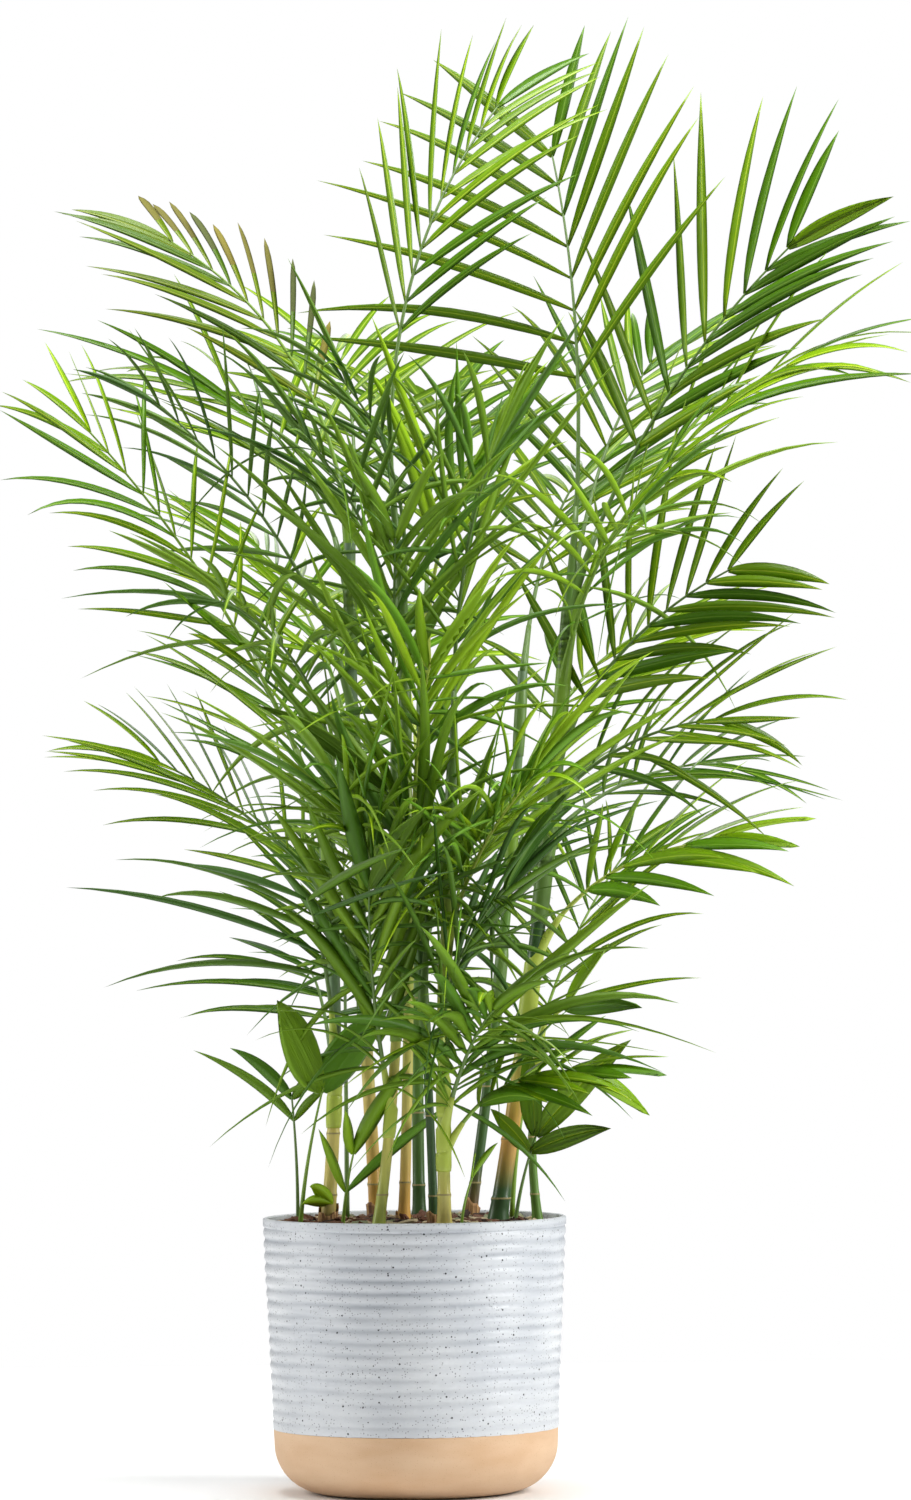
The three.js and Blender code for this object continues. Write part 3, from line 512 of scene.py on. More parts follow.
def grow_cane(name, cane, dice):
    """A disc at the cane's foot, extruded up level by level and resized at each."""
    levels = cane_levels(cane, dice)
    low = levels[0][0]
    middle, radius = cane_at(cane, low)
    middle.z = low
    bpy.ops.object.select_all(action="DESELECT")
    bpy.ops.mesh.primitive_circle_add(vertices=CANE_SIDES, radius=radius, fill_type="NGON")
    piece = bpy.context.object
    piece.name = f"stem_{name}"
    bpy.ops.object.mode_set(mode="EDIT")
    bpy.ops.transform.translate(value=middle)
    for height, swell, _ in levels[1:]:
        goal, new_radius = cane_at(cane, height)
        goal.z = height
        new_radius *= swell
        bpy.ops.mesh.extrude_region_move(TRANSFORM_OT_translate={"value": goal - middle})
        ratio = new_radius / radius
        bpy.ops.transform.resize(value=(ratio, ratio, 1), center_override=goal)
        middle, radius = goal, new_radius
    bpy.ops.mesh.select_all(action="SELECT")
    bpy.ops.mesh.normals_make_consistent(inside=False)
    bpy.ops.object.mode_set(mode="OBJECT")
    bpy.ops.object.shade_smooth_by_angle(angle=CANE_SHARP)
    scars = [height for height, _, is_scar in levels if is_scar]
    for polygon in piece.data.polygons:
        if any(0 < polygon.center.z - scar < SCAR_HIGH for scar in scars):
            polygon.material_index = 1
    return piece


def cane_skin(name, cane):
    """Waxy skin whose tint changes up the cane, with fine lengthwise streaks."""
    skin = Finish(f"skin_{name}", linear(110, 130, 70), 0.38)
    depth = skin.node("ShaderNodeSeparateXYZ", {"Vector": skin.place}).outputs["Z"]
    ramp = skin.node("ShaderNodeValToRGB", {"Fac": skin.between(depth, MIX_TOP, cane["top"][2])})
    stops = ramp.color_ramp.elements
    while len(stops) < len(cane["tints"]):
        stops.new(0.5)
    for stop, (share, tint) in zip(stops, cane["tints"]):
        stop.position = share
        stop.color = CANE_TINTS[tint]
    streak = skin.between(skin.grain(260, 3, (1, 1, 0.06)), 0.3, 0.75, 0.78, 1.12)
    shade = skin.node("ShaderNodeVectorMath", {0: ramp.outputs[0]}, operation="SCALE")
    skin.tree.links.new(streak, shade.inputs["Scale"])
    skin.wire("Base Color", shade.outputs[0])
    skin.relief(skin.grain(300, 3, (1, 1, 0.08)), 0.0003)
    return skin


ring_scar = grained({"ring_scar": (150, 138, 92)}, 0.8, (900, 3), 0.0003)[0]
cane_dice = random.Random(5)
for cane_name, cane_row in CANES.items():
    grown = grow_cane(cane_name, cane_row, cane_dice)
    dress(grown, "cane", cane_skin(cane_name, cane_row), ring_scar)
    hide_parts(f"cane_{cane_name}")


# Dry husks. The oldest leaf sheaths stay round the foot of some canes as short papery brown
# tubes with a torn, slanting mouth, and let the cane's yellow skin show above them.
HUSKS = {"left": 0.024, "back_right": 0.022, "middle": 0.014, "front_dark": 0.016, "back_left": 0.018}
HUSK_OUTSIDE = 0.0007  # above the cane's thickest ring, as its inside is
HUSK_INSIDE = 0.0001
HUSK_FLARE = 0.001
HUSK_SUNK = 0.003
HUSK_MOUTH = 0.7  # share of its height that its mouth is at in the middle of its slant
HUSK_SLANT = 0.24
HUSK_TEAR = 0.06
HUSK_SIDES = 18
HUSK_ROWS = 5


def tube_faces(low, rows, sides):
    """Faces of a tube whose rings of points follow one another from the point numbered low."""
    faces = []
    for ring in range(low, low + rows * sides, sides):
        for side in range(sides):
            after = (side + 1) % sides
            faces.append((ring + side, ring + after, ring + sides + after, ring + sides + side))
    return faces


husk_dice = random.Random(3)
husks = Joined()
for cane_name, high in HUSKS.items():
    slant = husk_dice.uniform(0, 2 * math.pi)
    points = []
    for wall in (HUSK_OUTSIDE, HUSK_INSIDE):
        for row in range(HUSK_ROWS + 1):
            share = row / HUSK_ROWS
            for side in range(HUSK_SIDES):
                turn = 2 * math.pi * side / HUSK_SIDES
                torn = HUSK_MOUTH + HUSK_SLANT * math.cos(turn - slant) + HUSK_TEAR * math.sin(5 * turn)
                height = MIX_TOP - HUSK_SUNK + high * torn * share
                middle, radius = cane_at(CANES[cane_name], height)
                reach = radius * RING_SWELL + wall + HUSK_FLARE * share * share
                middle.z = height
                points.append(middle + Vector((math.cos(turn), math.sin(turn), 0)) * reach)
    inner = (HUSK_ROWS + 1) * HUSK_SIDES
    top = HUSK_ROWS * HUSK_SIDES
    faces = tube_faces(0, HUSK_ROWS, HUSK_SIDES)
    faces += [tuple(reversed(face)) for face in tube_faces(inner, HUSK_ROWS, HUSK_SIDES)]
    for side in range(HUSK_SIDES):
        after = (side + 1) % HUSK_SIDES
        faces.append((top + side, top + after, inner + top + after, inner + top + side))
        faces.append((after, side, inner + side, inner + after))
    husks.add(points, faces, [0] * len(faces))
husk_piece = husks.piece("dry_husks")
husk = Finish("dry_husk", linear(150, 108, 66), 0.85)
husk_streaks = husk.between(husk.grain(420, 4, (1, 1, 0.06)), 0.38, 0.66)
husk.wire("Base Color", husk.blend(husk_streaks, linear(98, 64, 38), linear(186, 146, 96)))
husk.relief(husk_streaks, 0.0008)
dress(husk_piece, "cane", husk)
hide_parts(*[f"cane_{name}" for name in HUSKS])


# Frond stems. Each leaf hangs on a slim arching stalk that leaves its cane through a tubular
# sheath and runs on, thinner and thinner, as the rib between two rows of leaflets.
FROND_VALUES = (
    "name", "cane", "height", "tip", "arch", "roll", "pairs", "leaf", "spread", "bare", "tint",
)


def sprout(*values, **more):
    """A frond's values by name. One that grows from the mix has a foot there and no cane."""
    return {**dict(zip(FROND_VALUES, values)), **more}


# Each frond's cane and how high up that it springs, its tip, how high it arches, its face's roll
# in degrees, its pairs of leaflets, their length and degrees from the rib, the share of its way
# that is bare, and its tint. Then come the values in which it differs from most others.
FRONDS = [
    sprout("frond_crown", "main", 0.775, (0.127, 0.13, 1.168), 0.058, -30, 8, 0.245, 52, 0.44, "mid",
           bow=-0.022, width=0.0095, skew=16, last=28, longest=0.1, uneven=0.09, sag=0.14, loose=0.35),
    sprout("frond_peak", "middle", 0.8, (0.086, 0.078, 1.204), 0.112, 14, 10, 0.196, 36, 0.44, "mid",
           skew=-10, last=18, uneven=0.13, lift=-0.06, sag=0.16, loose=0.35),
    sprout("frond_upper_right", "main", 0.768, (0.336, 0.01, 1.07), 0.042, 56, 9, 0.192, 44, 0.38, "mid",
           width=0.012, skew=6, last=24, longest=0.45, uneven=0.12, lift=0.14, loose=0.5),
    sprout("frond_high_right", "main", 0.748, (0.33, -0.05, 0.96), 0.05, 28, 10, 0.195, 34, 0.3, "fresh",
           skew=-4, last=20, sag=0.26, loose=1.2),
    sprout("frond_mid_right", "main", 0.64, (0.278, -0.03, 0.786), 0.034, 66, 9, 0.16, 54, 0.2, "mid",
           width=0.011, skew=8, last=30, loose=0.5),
    sprout("frond_low_right", "main", 0.59, (0.264, -0.052, 0.656), 0.03, 54, 8, 0.168, 46, 0.26, "mid",
           loose=1),
    sprout("frond_right_back", "main", 0.56, (0.27, 0.086, 0.622), 0.032, 24, 8, 0.142, 50, 0.34, "deep"),
    sprout("frond_broad_right", "main", 0.468, (0.258, -0.024, 0.552), 0.04, 32, 7, 0.148, 58, 0.34,
           "bright", width=0.015, loose=0.6),
    sprout("frond_upper_left", "back_left", 0.815, (-0.214, 0.12, 1.09), 0.084, -42, 10, 0.13, 38, 0.38,
           "olive", width=0.008, skew=5, last=20, uneven=0.25, loose=0.5),
    sprout("frond_high_left", "back_left", 0.78, (-0.194, 0.124, 0.966), 0.062, -20, 9, 0.172, 58, 0.34,
           "mid", loose=1.3),
    sprout("frond_mid_left", "back_left", 0.69, (-0.218, -0.022, 0.934), 0.046, 18, 9, 0.138, 52, 0.4,
           "deep", loose=0.9),
    sprout("frond_far_left", "left", 0.575, (-0.278, -0.024, 0.914), 0.04, -40, 12, 0.158, 56, 0.34, "fresh",
           last=26, loose=1.1),
    sprout("frond_left_front", "left", 0.548, (-0.158, -0.11, 0.76), 0.092, -10, 8, 0.17, 66, 0.4, "mid",
           bow=0.016, last=30, sag=0.4, loose=1.5),
    sprout("frond_low_left", "back_left", 0.462, (-0.226, 0.092, 0.63), 0.04, -27, 11, 0.16, 48, 0.28, "mid",
           uneven=0.1, loose=0.6),
    sprout("frond_foot_left", "left", 0.384, (-0.086, -0.164, 0.506), 0.034, 0, 5, 0.19, 64, 0.36, "deep",
           width=0.008, last=50, sag=0.16),
    sprout("frond_foot_back", "left", 0.346, (-0.092, 0.124, 0.446), 0.04, 0, 4, 0.156, 70, 0.42, "deep",
           width=0.008, last=50),
    sprout("frond_centre", "front_left", 0.61, (-0.01, -0.14, 0.806), 0.046, 0, 9, 0.19, 36, 0.3, "mid",
           last=18, sag=0.2, loose=1.3),
    sprout("frond_centre_right", "front", 0.64, (0.07, -0.144, 0.872), 0.048, 8, 7, 0.2, 34, 0.32, "mid",
           width=0.007, last=18, sag=0.2, loose=1.5),
    sprout("frond_centre_tall", "back_middle", 0.742, (0.056, -0.034, 0.872), 0.03, 8, 6, 0.2, 34, 0.42,
           "bright", width=0.01, last=16),
    sprout("frond_right_front", "main", 0.706, (0.196, -0.15, 0.83), 0.044, 14, 7, 0.19, 42, 0.34, "fresh",
           width=0.007, loose=1.5),
    sprout("frond_left_centre", "middle", 0.716, (-0.084, -0.14, 0.888), 0.046, -12, 7, 0.17, 38, 0.34,
           "deep", width=0.007, last=18, loose=1.6),
    sprout("frond_young_right", "front", 0.47, (0.104, -0.15, 0.606), 0.024, 10, 9, 0.19, 40, 0.28, "bright",
           last=20, sag=0.22, loose=1.5),
    sprout("frond_young_left", "front_left", 0.452, (-0.06, -0.156, 0.6), 0.024, -10, 9, 0.18, 40, 0.28,
           "fresh", last=20, sag=0.22, loose=1.5),
    sprout("frond_young_centre", "front_dark", 0.545, (0.018, -0.146, 0.7), 0.042, 0, 9, 0.19, 36, 0.3,
           "bright", last=18, loose=1.6),
    sprout("frond_low_front", "front", 0.318, (0.068, -0.186, 0.412), 0.03, 0, 8, 0.16, 46, 0.3, "mid",
           bow=0.008, width=0.011, sag=0.4, loose=1.4),
    sprout("frond_inner_left", "middle", 0.762, (-0.056, -0.104, 0.945), 0.044, -16, 7, 0.145, 38, 0.38,
           "deep", bow=0.024, width=0.006, last=18, loose=1.6),
    sprout("frond_inner_low_left", "front_left", 0.336, (-0.034, -0.148, 0.518), 0.018, -6, 8, 0.17, 36,
           0.26, "mid", bow=-0.016, width=0.013, last=18, loose=1.5),
    sprout("frond_inner_low_right", "front", 0.362, (0.082, -0.126, 0.516), 0.024, 6, 8, 0.18, 38, 0.26,
           "deep", bow=-0.032, width=0.013, last=18, loose=1.5),
    sprout("frond_inner_low", "front_dark", 0.44, (-0.022, -0.13, 0.6), 0.024, 0, 8, 0.19, 36, 0.26, "mid",
           bow=0.024, width=0.012, last=18, loose=1.6),
    sprout("frond_inner_back", "back_middle", 0.43, (0.056, 0.168, 0.566), 0.036, 0, 10, 0.168, 56, 0.3,
           "deep"),
    sprout("frond_back_upper_left", "back_left", 0.796, (-0.066, 0.226, 1.0), 0.058, 0, 10, 0.18, 56, 0.34,
           "mid", bow=-0.016),
    sprout("frond_back_left", "back_left", 0.632, (-0.14, 0.22, 0.826), 0.05, 10, 10, 0.176, 56, 0.34,
           "fresh"),
    sprout("frond_back_top", "back_middle", 0.728, (0.026, 0.244, 0.95), 0.054, 0, 10, 0.182, 54, 0.34,
           "mid"),
    sprout("frond_back_centre", "back_middle", 0.612, (-0.024, 0.264, 0.77), 0.05, 0, 10, 0.174, 58, 0.32,
           "bright"),
    sprout("frond_back_right", "back_right", 0.705, (0.156, 0.288, 0.892), 0.054, 0, 10, 0.172, 56, 0.32,
           "mid"),
    sprout("frond_back_low_right", "back_right", 0.596, (0.216, 0.226, 0.748), 0.046, 12, 9, 0.16, 56, 0.34,
           "fresh"),
    sprout("frond_back_foot", "back_right", 0.474, (0.112, 0.258, 0.59), 0.044, 0, 9, 0.158, 58, 0.34,
           "deep"),
    sprout("frond_back_upper_right", "main", 0.758, (0.218, 0.176, 0.984), 0.052, 14, 10, 0.18, 52, 0.34,
           "mid"),
    sprout("frond_back_far_left", "left", 0.52, (-0.138, 0.15, 0.706), 0.044, -4, 9, 0.152, 54, 0.36, "mid"),
    sprout("frond_back_low_left", None, MIX_TOP, (-0.062, 0.208, 0.56), 0.07, 0, 9, 0.15, 58, 0.52, "deep",
           foot=(-0.058, 0.034)),
    sprout("frond_back_low", None, MIX_TOP, (0.19, 0.16, 0.548), 0.07, 10, 9, 0.146, 56, 0.52, "fresh",
           foot=(0.084, 0.056)),
    sprout("leaf_forked", None, MIX_TOP, (-0.076, -0.05, 0.346), 0.008, 0, 1, 0.1, 34, 0.9, "fresh",
           foot=(-0.097, -0.024), width=0.04, uneven=-0.06, sag=0.2, loose=0.3, stem=0.0022),
    sprout("leaf_foot_left", None, MIX_TOP, (-0.104, -0.008, 0.338), 0.012, 0, 2, 0.084, 42, 0.8, "mid",
           foot=(-0.1, 0.012), width=0.009, last=34, uneven=-0.35, sag=0.5, stem=0.0018),
    sprout("leaf_foot_front", None, MIX_TOP, (-0.05, -0.076, 0.292), 0.006, 4, 2, 0.12, 38, 0.45, "fresh",
           foot=(-0.06, -0.058), width=0.011, skew=14, last=18, uneven=0.36, loose=0.3, stem=0.0018),
    sprout("leaf_low_front", "front", 0.296, (0.15, -0.112, 0.358), 0.046, 30, 8, 0.1, 46, 0.3, "fresh",
           width=0.014, last=28, stem=0.0022),
    sprout("leaf_low_right", None, MIX_TOP, (0.105, -0.014, 0.304), 0.004, 62, 2, 0.164, 52, 0.8, "mid",
           foot=(0.086, -0.018), width=0.02, last=20, longest=0.55, uneven=-0.2, sag=0.14, loose=0.4,
           stem=0.002),
    sprout("leaf_right", "right", 0.398, (0.131, 0, 0.411), 0.0005, 76, 1, 0.092, 17, 0.7, "bright",
           width=0.018, uneven=-0.06, sag=0.04, loose=0.8, stem=0.002),
    sprout("leaf_foot_right", None, MIX_TOP, (0.05, -0.108, 0.272), 0.004, 10, 1, 0.042, 36, 0.85, "fresh",
           foot=(0.04, -0.1), width=0.008, stem=0.0015),
]

UP = Vector((0, 0, 1))
LAST_PAIR = 0.975
STEM_RADIUS = 0.0024
STEM_TIP_RADIUS = 0.0008
STEM_TAPER = 0.8
STEM_SEAT = 0.6  # a side stem starts this share of the cane's radius from its middle
STEM_SIDES = 7
STEM_PIECES = 26


def lay_stem(frond):
    """The frond's curve from its cane or the mix to its tip: start, middle and end of the bow."""
    tip = Vector(frond["tip"])
    cane = CANES.get(frond["cane"])
    if cane:
        origin, radius = cane_at(cane, frond["height"])
    else:
        origin = Vector((*frond["foot"], MIX_TOP))
    chord = tip - origin
    frond["across"] = UP.cross(Vector((chord.x, chord.y, 0)).normalized())
    rise = chord.cross(frond["across"]).normalized()
    middle = origin.lerp(tip, 0.5) + rise * frond["arch"] + frond["across"] * frond.get("bow", 0)
    frond["on_top"] = bool(cane) and frond["height"] == cane["top"][2]
    if cane and not frond["on_top"]:
        out = Vector((middle.x - origin.x, middle.y - origin.y, 0)).normalized()
        origin = origin + out * radius * STEM_SEAT
    frond["curve"] = (origin, middle, tip)


def stem_frame(frond, share):
    """Place, direction, side and upper face of a frond's stem at a share of its way."""
    start, middle, tip = frond["curve"]
    place = start * (1 - share) ** 2 + middle * 2 * share * (1 - share) + tip * share ** 2
    along = ((middle - start) * (1 - share) + (tip - middle) * share).normalized()
    roll = math.radians(frond["roll"])
    side = frond["across"] * math.cos(roll) + along.cross(frond["across"]) * math.sin(roll)
    side = (side - along * side.dot(along)).normalized()
    return place, along, side, along.cross(side)


def stem_radius(frond, share):
    return lerp(frond.get("stem", STEM_RADIUS), STEM_TIP_RADIUS, share ** STEM_TAPER)


def sweep(joined, rings, slot, sides):
    """A closed tube through rings of (middle, side, face, radius), capped at both ends."""
    points = []
    marks = []
    for row, (middle, side, face, radius) in enumerate(rings):
        for corner in range(sides):
            turn = 2 * math.pi * corner / sides
            points.append(middle + (side * math.cos(turn) + face * math.sin(turn)) * radius)
            marks.append((corner / sides, row * 0.05))
    faces = tube_faces(0, len(rings) - 1, sides)
    top = (len(rings) - 1) * sides
    faces.append(tuple(reversed(range(sides))))
    faces.append(tuple(range(top, top + sides)))
    joined.add(points, faces, [slot] * len(faces), marks)


stem_tints = {"mid": 0, "deep": 0, "olive": 1, "fresh": 1, "bright": 2}
stalks = Joined()
for frond in FRONDS:
    lay_stem(frond)
    rings = []
    for step in range(STEM_PIECES + 1):
        share = step / STEM_PIECES
        middle, _, side, face = stem_frame(frond, share)
        rings.append((middle, side, face, stem_radius(frond, share)))
    sweep(stalks, rings, stem_tints[frond["tint"]], STEM_SIDES)
STALK_COLOURS = {
    "stalk_grey_green": (90, 120, 52), "stalk_green": (114, 148, 44), "stalk_yellow_green": (166, 182, 68),
}
stalk_piece = stalks.piece("frond_stalks")
stalk_finishes = grained(STALK_COLOURS, 0.42, (500, 3, (1, 1, 0.2)), 0.0002)
dress(stalk_piece, "leaf", *stalk_finishes)
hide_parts(*[frond["name"] for frond in FRONDS])


# Sheaths. The foot of each stalk is a green tube wrapped round the cane, cut slantwise at its
# mouth, from which the stalk leans out. Low ones are as yellow as the canes; the old dry brown
# ones at the foot are the husks above.
SHEATH_LONG = 0.075
SHEATH_THICK = 0.0009
SHEATH_STEPS = 12
SHEATH_SIDES = 16
SHEATH_SHARE = 0.3  # most of a frond's height above the mix that its sheath takes
THIN_FOOT = 0.35  # share of the sheath's thickness at its foot
SIDE_MOUTH = 0.8  # share of the sheath that clasps the cane, here and at a cane's top
TOP_MOUTH = 0.72
MOUTH_STEPS = 6
MOUTH_REACH = 0.16  # share of the stalk that the mouth runs out along
MOUTH_SLACK = 1.12
LOW_SHEATH = 0.4  # below this height they are as yellow as the canes
RIGHT = Vector((1, 0, 0))
BACK = Vector((0, 1, 0))
sheaths = Joined()
for frond in FRONDS:
    cane = CANES.get(frond["cane"])
    if not cane:
        continue
    long = min(SHEATH_LONG, (frond["height"] - MIX_TOP) * SHEATH_SHARE)
    mouth = TOP_MOUTH if frond["on_top"] else SIDE_MOUTH
    rings = []
    for step in range(SHEATH_STEPS + 1):
        rise = step / SHEATH_STEPS
        if rise <= mouth:
            height = frond["height"] - long * (1 - rise)
            middle, radius = cane_at(cane, height)
            middle.z = height
            thick = SHEATH_THICK * min(1, THIN_FOOT + rise * 3)
            rings.append((middle, RIGHT, BACK, radius * RING_SWELL + thick))
    last_middle, _, _, last_radius = rings[-1]
    for step in range(1, MOUTH_STEPS + 1):
        share = step / MOUTH_STEPS
        place, along, _, _ = stem_frame(frond, MOUTH_REACH * share)
        blend = share ** 0.75
        middle = last_middle.lerp(place, blend)
        radius = lerp(last_radius, stem_radius(frond, MOUTH_REACH) * MOUTH_SLACK, blend)
        axis = UP.lerp(along, share).normalized()
        side = (RIGHT - axis * axis.x).normalized()
        rings.append((middle, side, axis.cross(side), radius))
    slot = 2 if frond["height"] < LOW_SHEATH else stem_tints[frond["tint"]]
    sweep(sheaths, rings, slot, SHEATH_SIDES)
sheath_piece = sheaths.piece("stalk_sheaths")
dress(sheath_piece, "leaf", *stalk_finishes)
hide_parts(*[frond["name"] for frond in FRONDS if frond["cane"]])


# Leaflets. Long narrow satin blades, folded along a pale midrib, that leave the stalk in two
# rows and bend over towards their fine tips. Young ones are yellow green, old ones dark.
LEAFLET_ROWS = 11
MIDRIB_WIDE = 0.0009
MIDRIB_SHARE = 0.3  # most of a narrow blade's half that the midrib takes
BLADE_THICK = 0.0005
FOLD = math.radians(24)
FOLD_OPENS = 0.55  # share of the fold that is lost by the tip
KINDS = 4
SKIN, RIB, UNDER, DRY = range(KINDS)  # the finishes of each tone, in this order
BROAD_WIDE = 0.017
BROAD_PLEATS = 5
PLEAT_HIGH = 0.0016
PLEAT_PAINTED_LIGHT_KINDS = (UNDER, SKIN)  # every other pleat slope is as pale as the leaf's underside: painted light and shade on the pleats
OUTLINE_AT = (0, 0.05, 0.15, 0.3, 0.42, 0.6, 0.75, 0.88, 1)
OUTLINE_WIDE = (0.26, 0.5, 0.8, 0.98, 1, 0.86, 0.62, 0.32, 0)
BLUNT_WIDE = (0.26, 0.45, 0.62, 0.78, 0.88, 1, 1, 0.9, 0)
BLUNT_ROW = ("frond_upper_left", -1)  # the old row whose tips broke off and dried
DRY_FROM = 0.4


def leaflet_line(base, run, long, sag, curl, hook):
    """Points along a leaflet's midrib, which sags, curls to one side and hooks at its tip."""
    line = []
    for row in range(LEAFLET_ROWS + 1):
        share = row / LEAFLET_ROWS
        place = base + run * long * share + sag * long * share ** 2
        place += curl * long * share ** 2 - UP * long * hook * share ** 4
        line.append(place)
    return line


def blade_section(half, lean, pleats):
    """Across and up of a blade's upper side, from one edge over the midrib to the other."""
    side = []
    for pleat in range(pleats):
        out = half * (1 - pleat / pleats)
        crest = PLEAT_HIGH * (-1) ** pleat if pleat else 0
        side.append((out * math.cos(lean), out * math.sin(lean) + crest))
    side.append((min(MIDRIB_WIDE / 2, half * MIDRIB_SHARE), 0))
    return side + [(-across, up) for across, up in reversed(side)]


def grow_leaflet(joined, line, lead, width, fold, twist, tone, blunt=False):
    """A blade folded along its midrib, closed below. A broad one is pleated lengthwise too."""
    points = []
    marks = []
    pleats = BROAD_PLEATS if width > BROAD_WIDE else 1
    for row, place in enumerate(line[:-1]):
        share = row / LEAFLET_ROWS
        along = (line[min(row + 1, LEAFLET_ROWS)] - line[max(row - 1, 0)]).normalized()
        level = (lead - along * lead.dot(along)).normalized()
        above = level.cross(along) if twist[1] > 0 else along.cross(level)
        turn = twist[0] * share
        turning = Matrix.Rotation(-turn * twist[1], 3, along)
        level, above = turning @ level, turning @ above
        half = width / 2 * float(np.interp(share, OUTLINE_AT, BLUNT_WIDE if blunt else OUTLINE_WIDE))
        upper = blade_section(half, fold * (1 - FOLD_OPENS * share), pleats)
        lower = [(across, up - BLADE_THICK) for across, up in reversed(upper[1:-1])]
        for across, up in upper + lower:
            points.append(place + level * across + above * up)
            marks.append((across, share))
    points.append(line[-1])
    marks.append((0, 1))
    tip = len(points) - 1
    upper_count = 2 * pleats + 2
    around = 2 * upper_count - 2
    # Every other pleat slope takes the paler underside finish, painted light on the pleats.
    half_kinds = [PLEAT_PAINTED_LIGHT_KINDS[pleat % 2] for pleat in range(pleats, 0, -1)]
    kinds = half_kinds + [RIB] + half_kinds[::-1] + [UNDER] * (pleats * 2 + 1)
    faces = []
    slots = []
    for row in range(LEAFLET_ROWS):
        low = row * around
        for one, kind in enumerate(kinds):
            other = (one + 1) % around
            if row < LEAFLET_ROWS - 1:
                faces.append((low + one, low + other, low + other + around, low + one + around))
            else:
                faces.append((low + one, low + other, tip))
            dry = blunt and row / LEAFLET_ROWS > DRY_FROM
            slots.append(tone * KINDS + (DRY if dry else kind))
    faces.append(tuple(reversed(range(around))))
    slots.append(tone * KINDS)
    if twist[1] < 0:
        faces = [tuple(reversed(face)) for face in faces]
    joined.add(points, faces, slots, marks)


# How a leaflet lies on its frond where the row doesn't say, and how much leaflets differ. Each
# trait that differs takes its own draw of the scattered values.
LAST_SPREAD = 21
LONGEST_AT = 0.39
LAST_LENGTH = 0.6
LIFT = 0.12
SAG = 0.12
VARIES = {"spread": (11, 0), "lift": (0.22, 50), "length": (0.12, 90), "sag": (0.8, 130)}


def scatter(row, column):
    """A value from -1 to 1 that looks random, the plain model's own for the same two numbers."""
    wave = math.sin(row * 12.9898 + column * 78.233) * 43758.5453
    return 2 * (wave - math.floor(wave)) - 1


def leaflet_lie(frond, pair, hand):
    """Share of the stem, direction, length and sag of a leaflet, by the plain model's rule."""
    count = frond["pairs"]
    single = count == 1
    longest = frond.get("longest", LONGEST_AT)
    row = FRONDS.index(frond) + 1
    column = 2 * pair + (1 if hand > 0 else 0)
    vary = {}
    for trait, (most, draw) in VARIES.items():
        vary[trait] = frond.get("loose", 1) * most * scatter(row + draw, column)
    order = 1 if single else pair / (count - 1)
    share = LAST_PAIR if single else lerp(frond["bare"], LAST_PAIR, order)
    _, along, side, face = stem_frame(frond, share)
    first_spread = frond["spread"] + hand * frond.get("skew", 0) + vary["spread"]
    last_spread = frond["spread"] if single else frond.get("last", LAST_SPREAD)
    spread = math.radians(lerp(first_spread, last_spread, order))
    run = along * math.cos(spread) + side * hand * math.sin(spread)
    run = (run + face * (frond.get("lift", LIFT) + vary["lift"])).normalized()
    shrink = 1 - (1 - LAST_LENGTH) * ((order - longest) / (1 - longest)) ** 2
    long = frond["leaf"] * (1 if single else shrink * (1 + vary["length"]))
    long *= 1 + hand * frond.get("uneven", 0)
    sag = (run * run.z - UP) * frond.get("sag", SAG) * (1 + vary["sag"])
    return share, run, long, sag


TONES = ((1, 1, 0), (0.76, 0.87, 0), (1.14, 1.1, 0))  # red and green factors, blue added
TONE_SHARES = (3, 2, 2)

# Fronds this loose or looser carry stray leaflets on their stalks and among their pairs, and more
# of them where the frond springs from low on its cane.
TANGLED = 1.4
LOW_TANGLE = 0.48
LOW_STRAYS = 2
STRAY_FROM = 0.03
STRAY_SPREAD = (15, 105)
STRAY_LONG = (0.55, 0.85)
STRAY_SAG = (0.1, 0.7)
STRAY_LIFT = (-0.5, 0.5)
STRAY_TILT = (-0.6, 0.6)
STRAY_CURLS = (0.15, 0.12)
STRAY_HOOK = 0.2
STRAY_TWIST = 1.2
STRAY_WIDE = 0.0055


def add_stray(frond, joined, dice, pair, hand, long):
    """A thinner, shorter leaflet bent its own way, on a tangled frond's rib or on its bare stalk."""
    share = lerp(STRAY_FROM, LAST_PAIR, (pair + dice.uniform(0, 1)) / (frond["pairs"] - 1))
    place, along, side, face = stem_frame(frond, share)
    spread = math.radians(dice.uniform(*STRAY_SPREAD))
    run = along * math.cos(spread) + side * hand * math.sin(spread)
    run = (run + face * dice.uniform(*STRAY_LIFT)).normalized()
    lead = (run.cross(face).normalized() + face * dice.uniform(*STRAY_TILT)) * hand
    long *= dice.uniform(*STRAY_LONG)
    sag = (run * run.z - UP) * dice.uniform(*STRAY_SAG)
    curl = along * dice.gauss(0, STRAY_CURLS[0]) + side * dice.gauss(0, STRAY_CURLS[1])
    line = leaflet_line(place, run, long, sag, curl, dice.uniform(0, STRAY_HOOK))
    tone = dice.choices(range(len(TONES)), weights=TONE_SHARES)[0]
    twist = (dice.uniform(-STRAY_TWIST, STRAY_TWIST), hand)
    grow_leaflet(joined, line, lead, STRAY_WIDE, FOLD, twist, tone)


SLENDER = 0.044
WIDTH_VARIES = (0.85, 1.1)
LAST_BROADER = 1.35
LEAFLET_TURN = math.radians(18)
LEAFLET_SUNK = 0.4  # it starts this share of the rib's radius from the rib's middle
CURL_ALONG = (0.02, 0.07)  # middle value and how far it strays
CURL_ASIDE = (0, 0.06)
HOOK_MOST = 0.1
TWIST_MOST = 0.6
FOLD_VARIES = (0.5, 1.3)


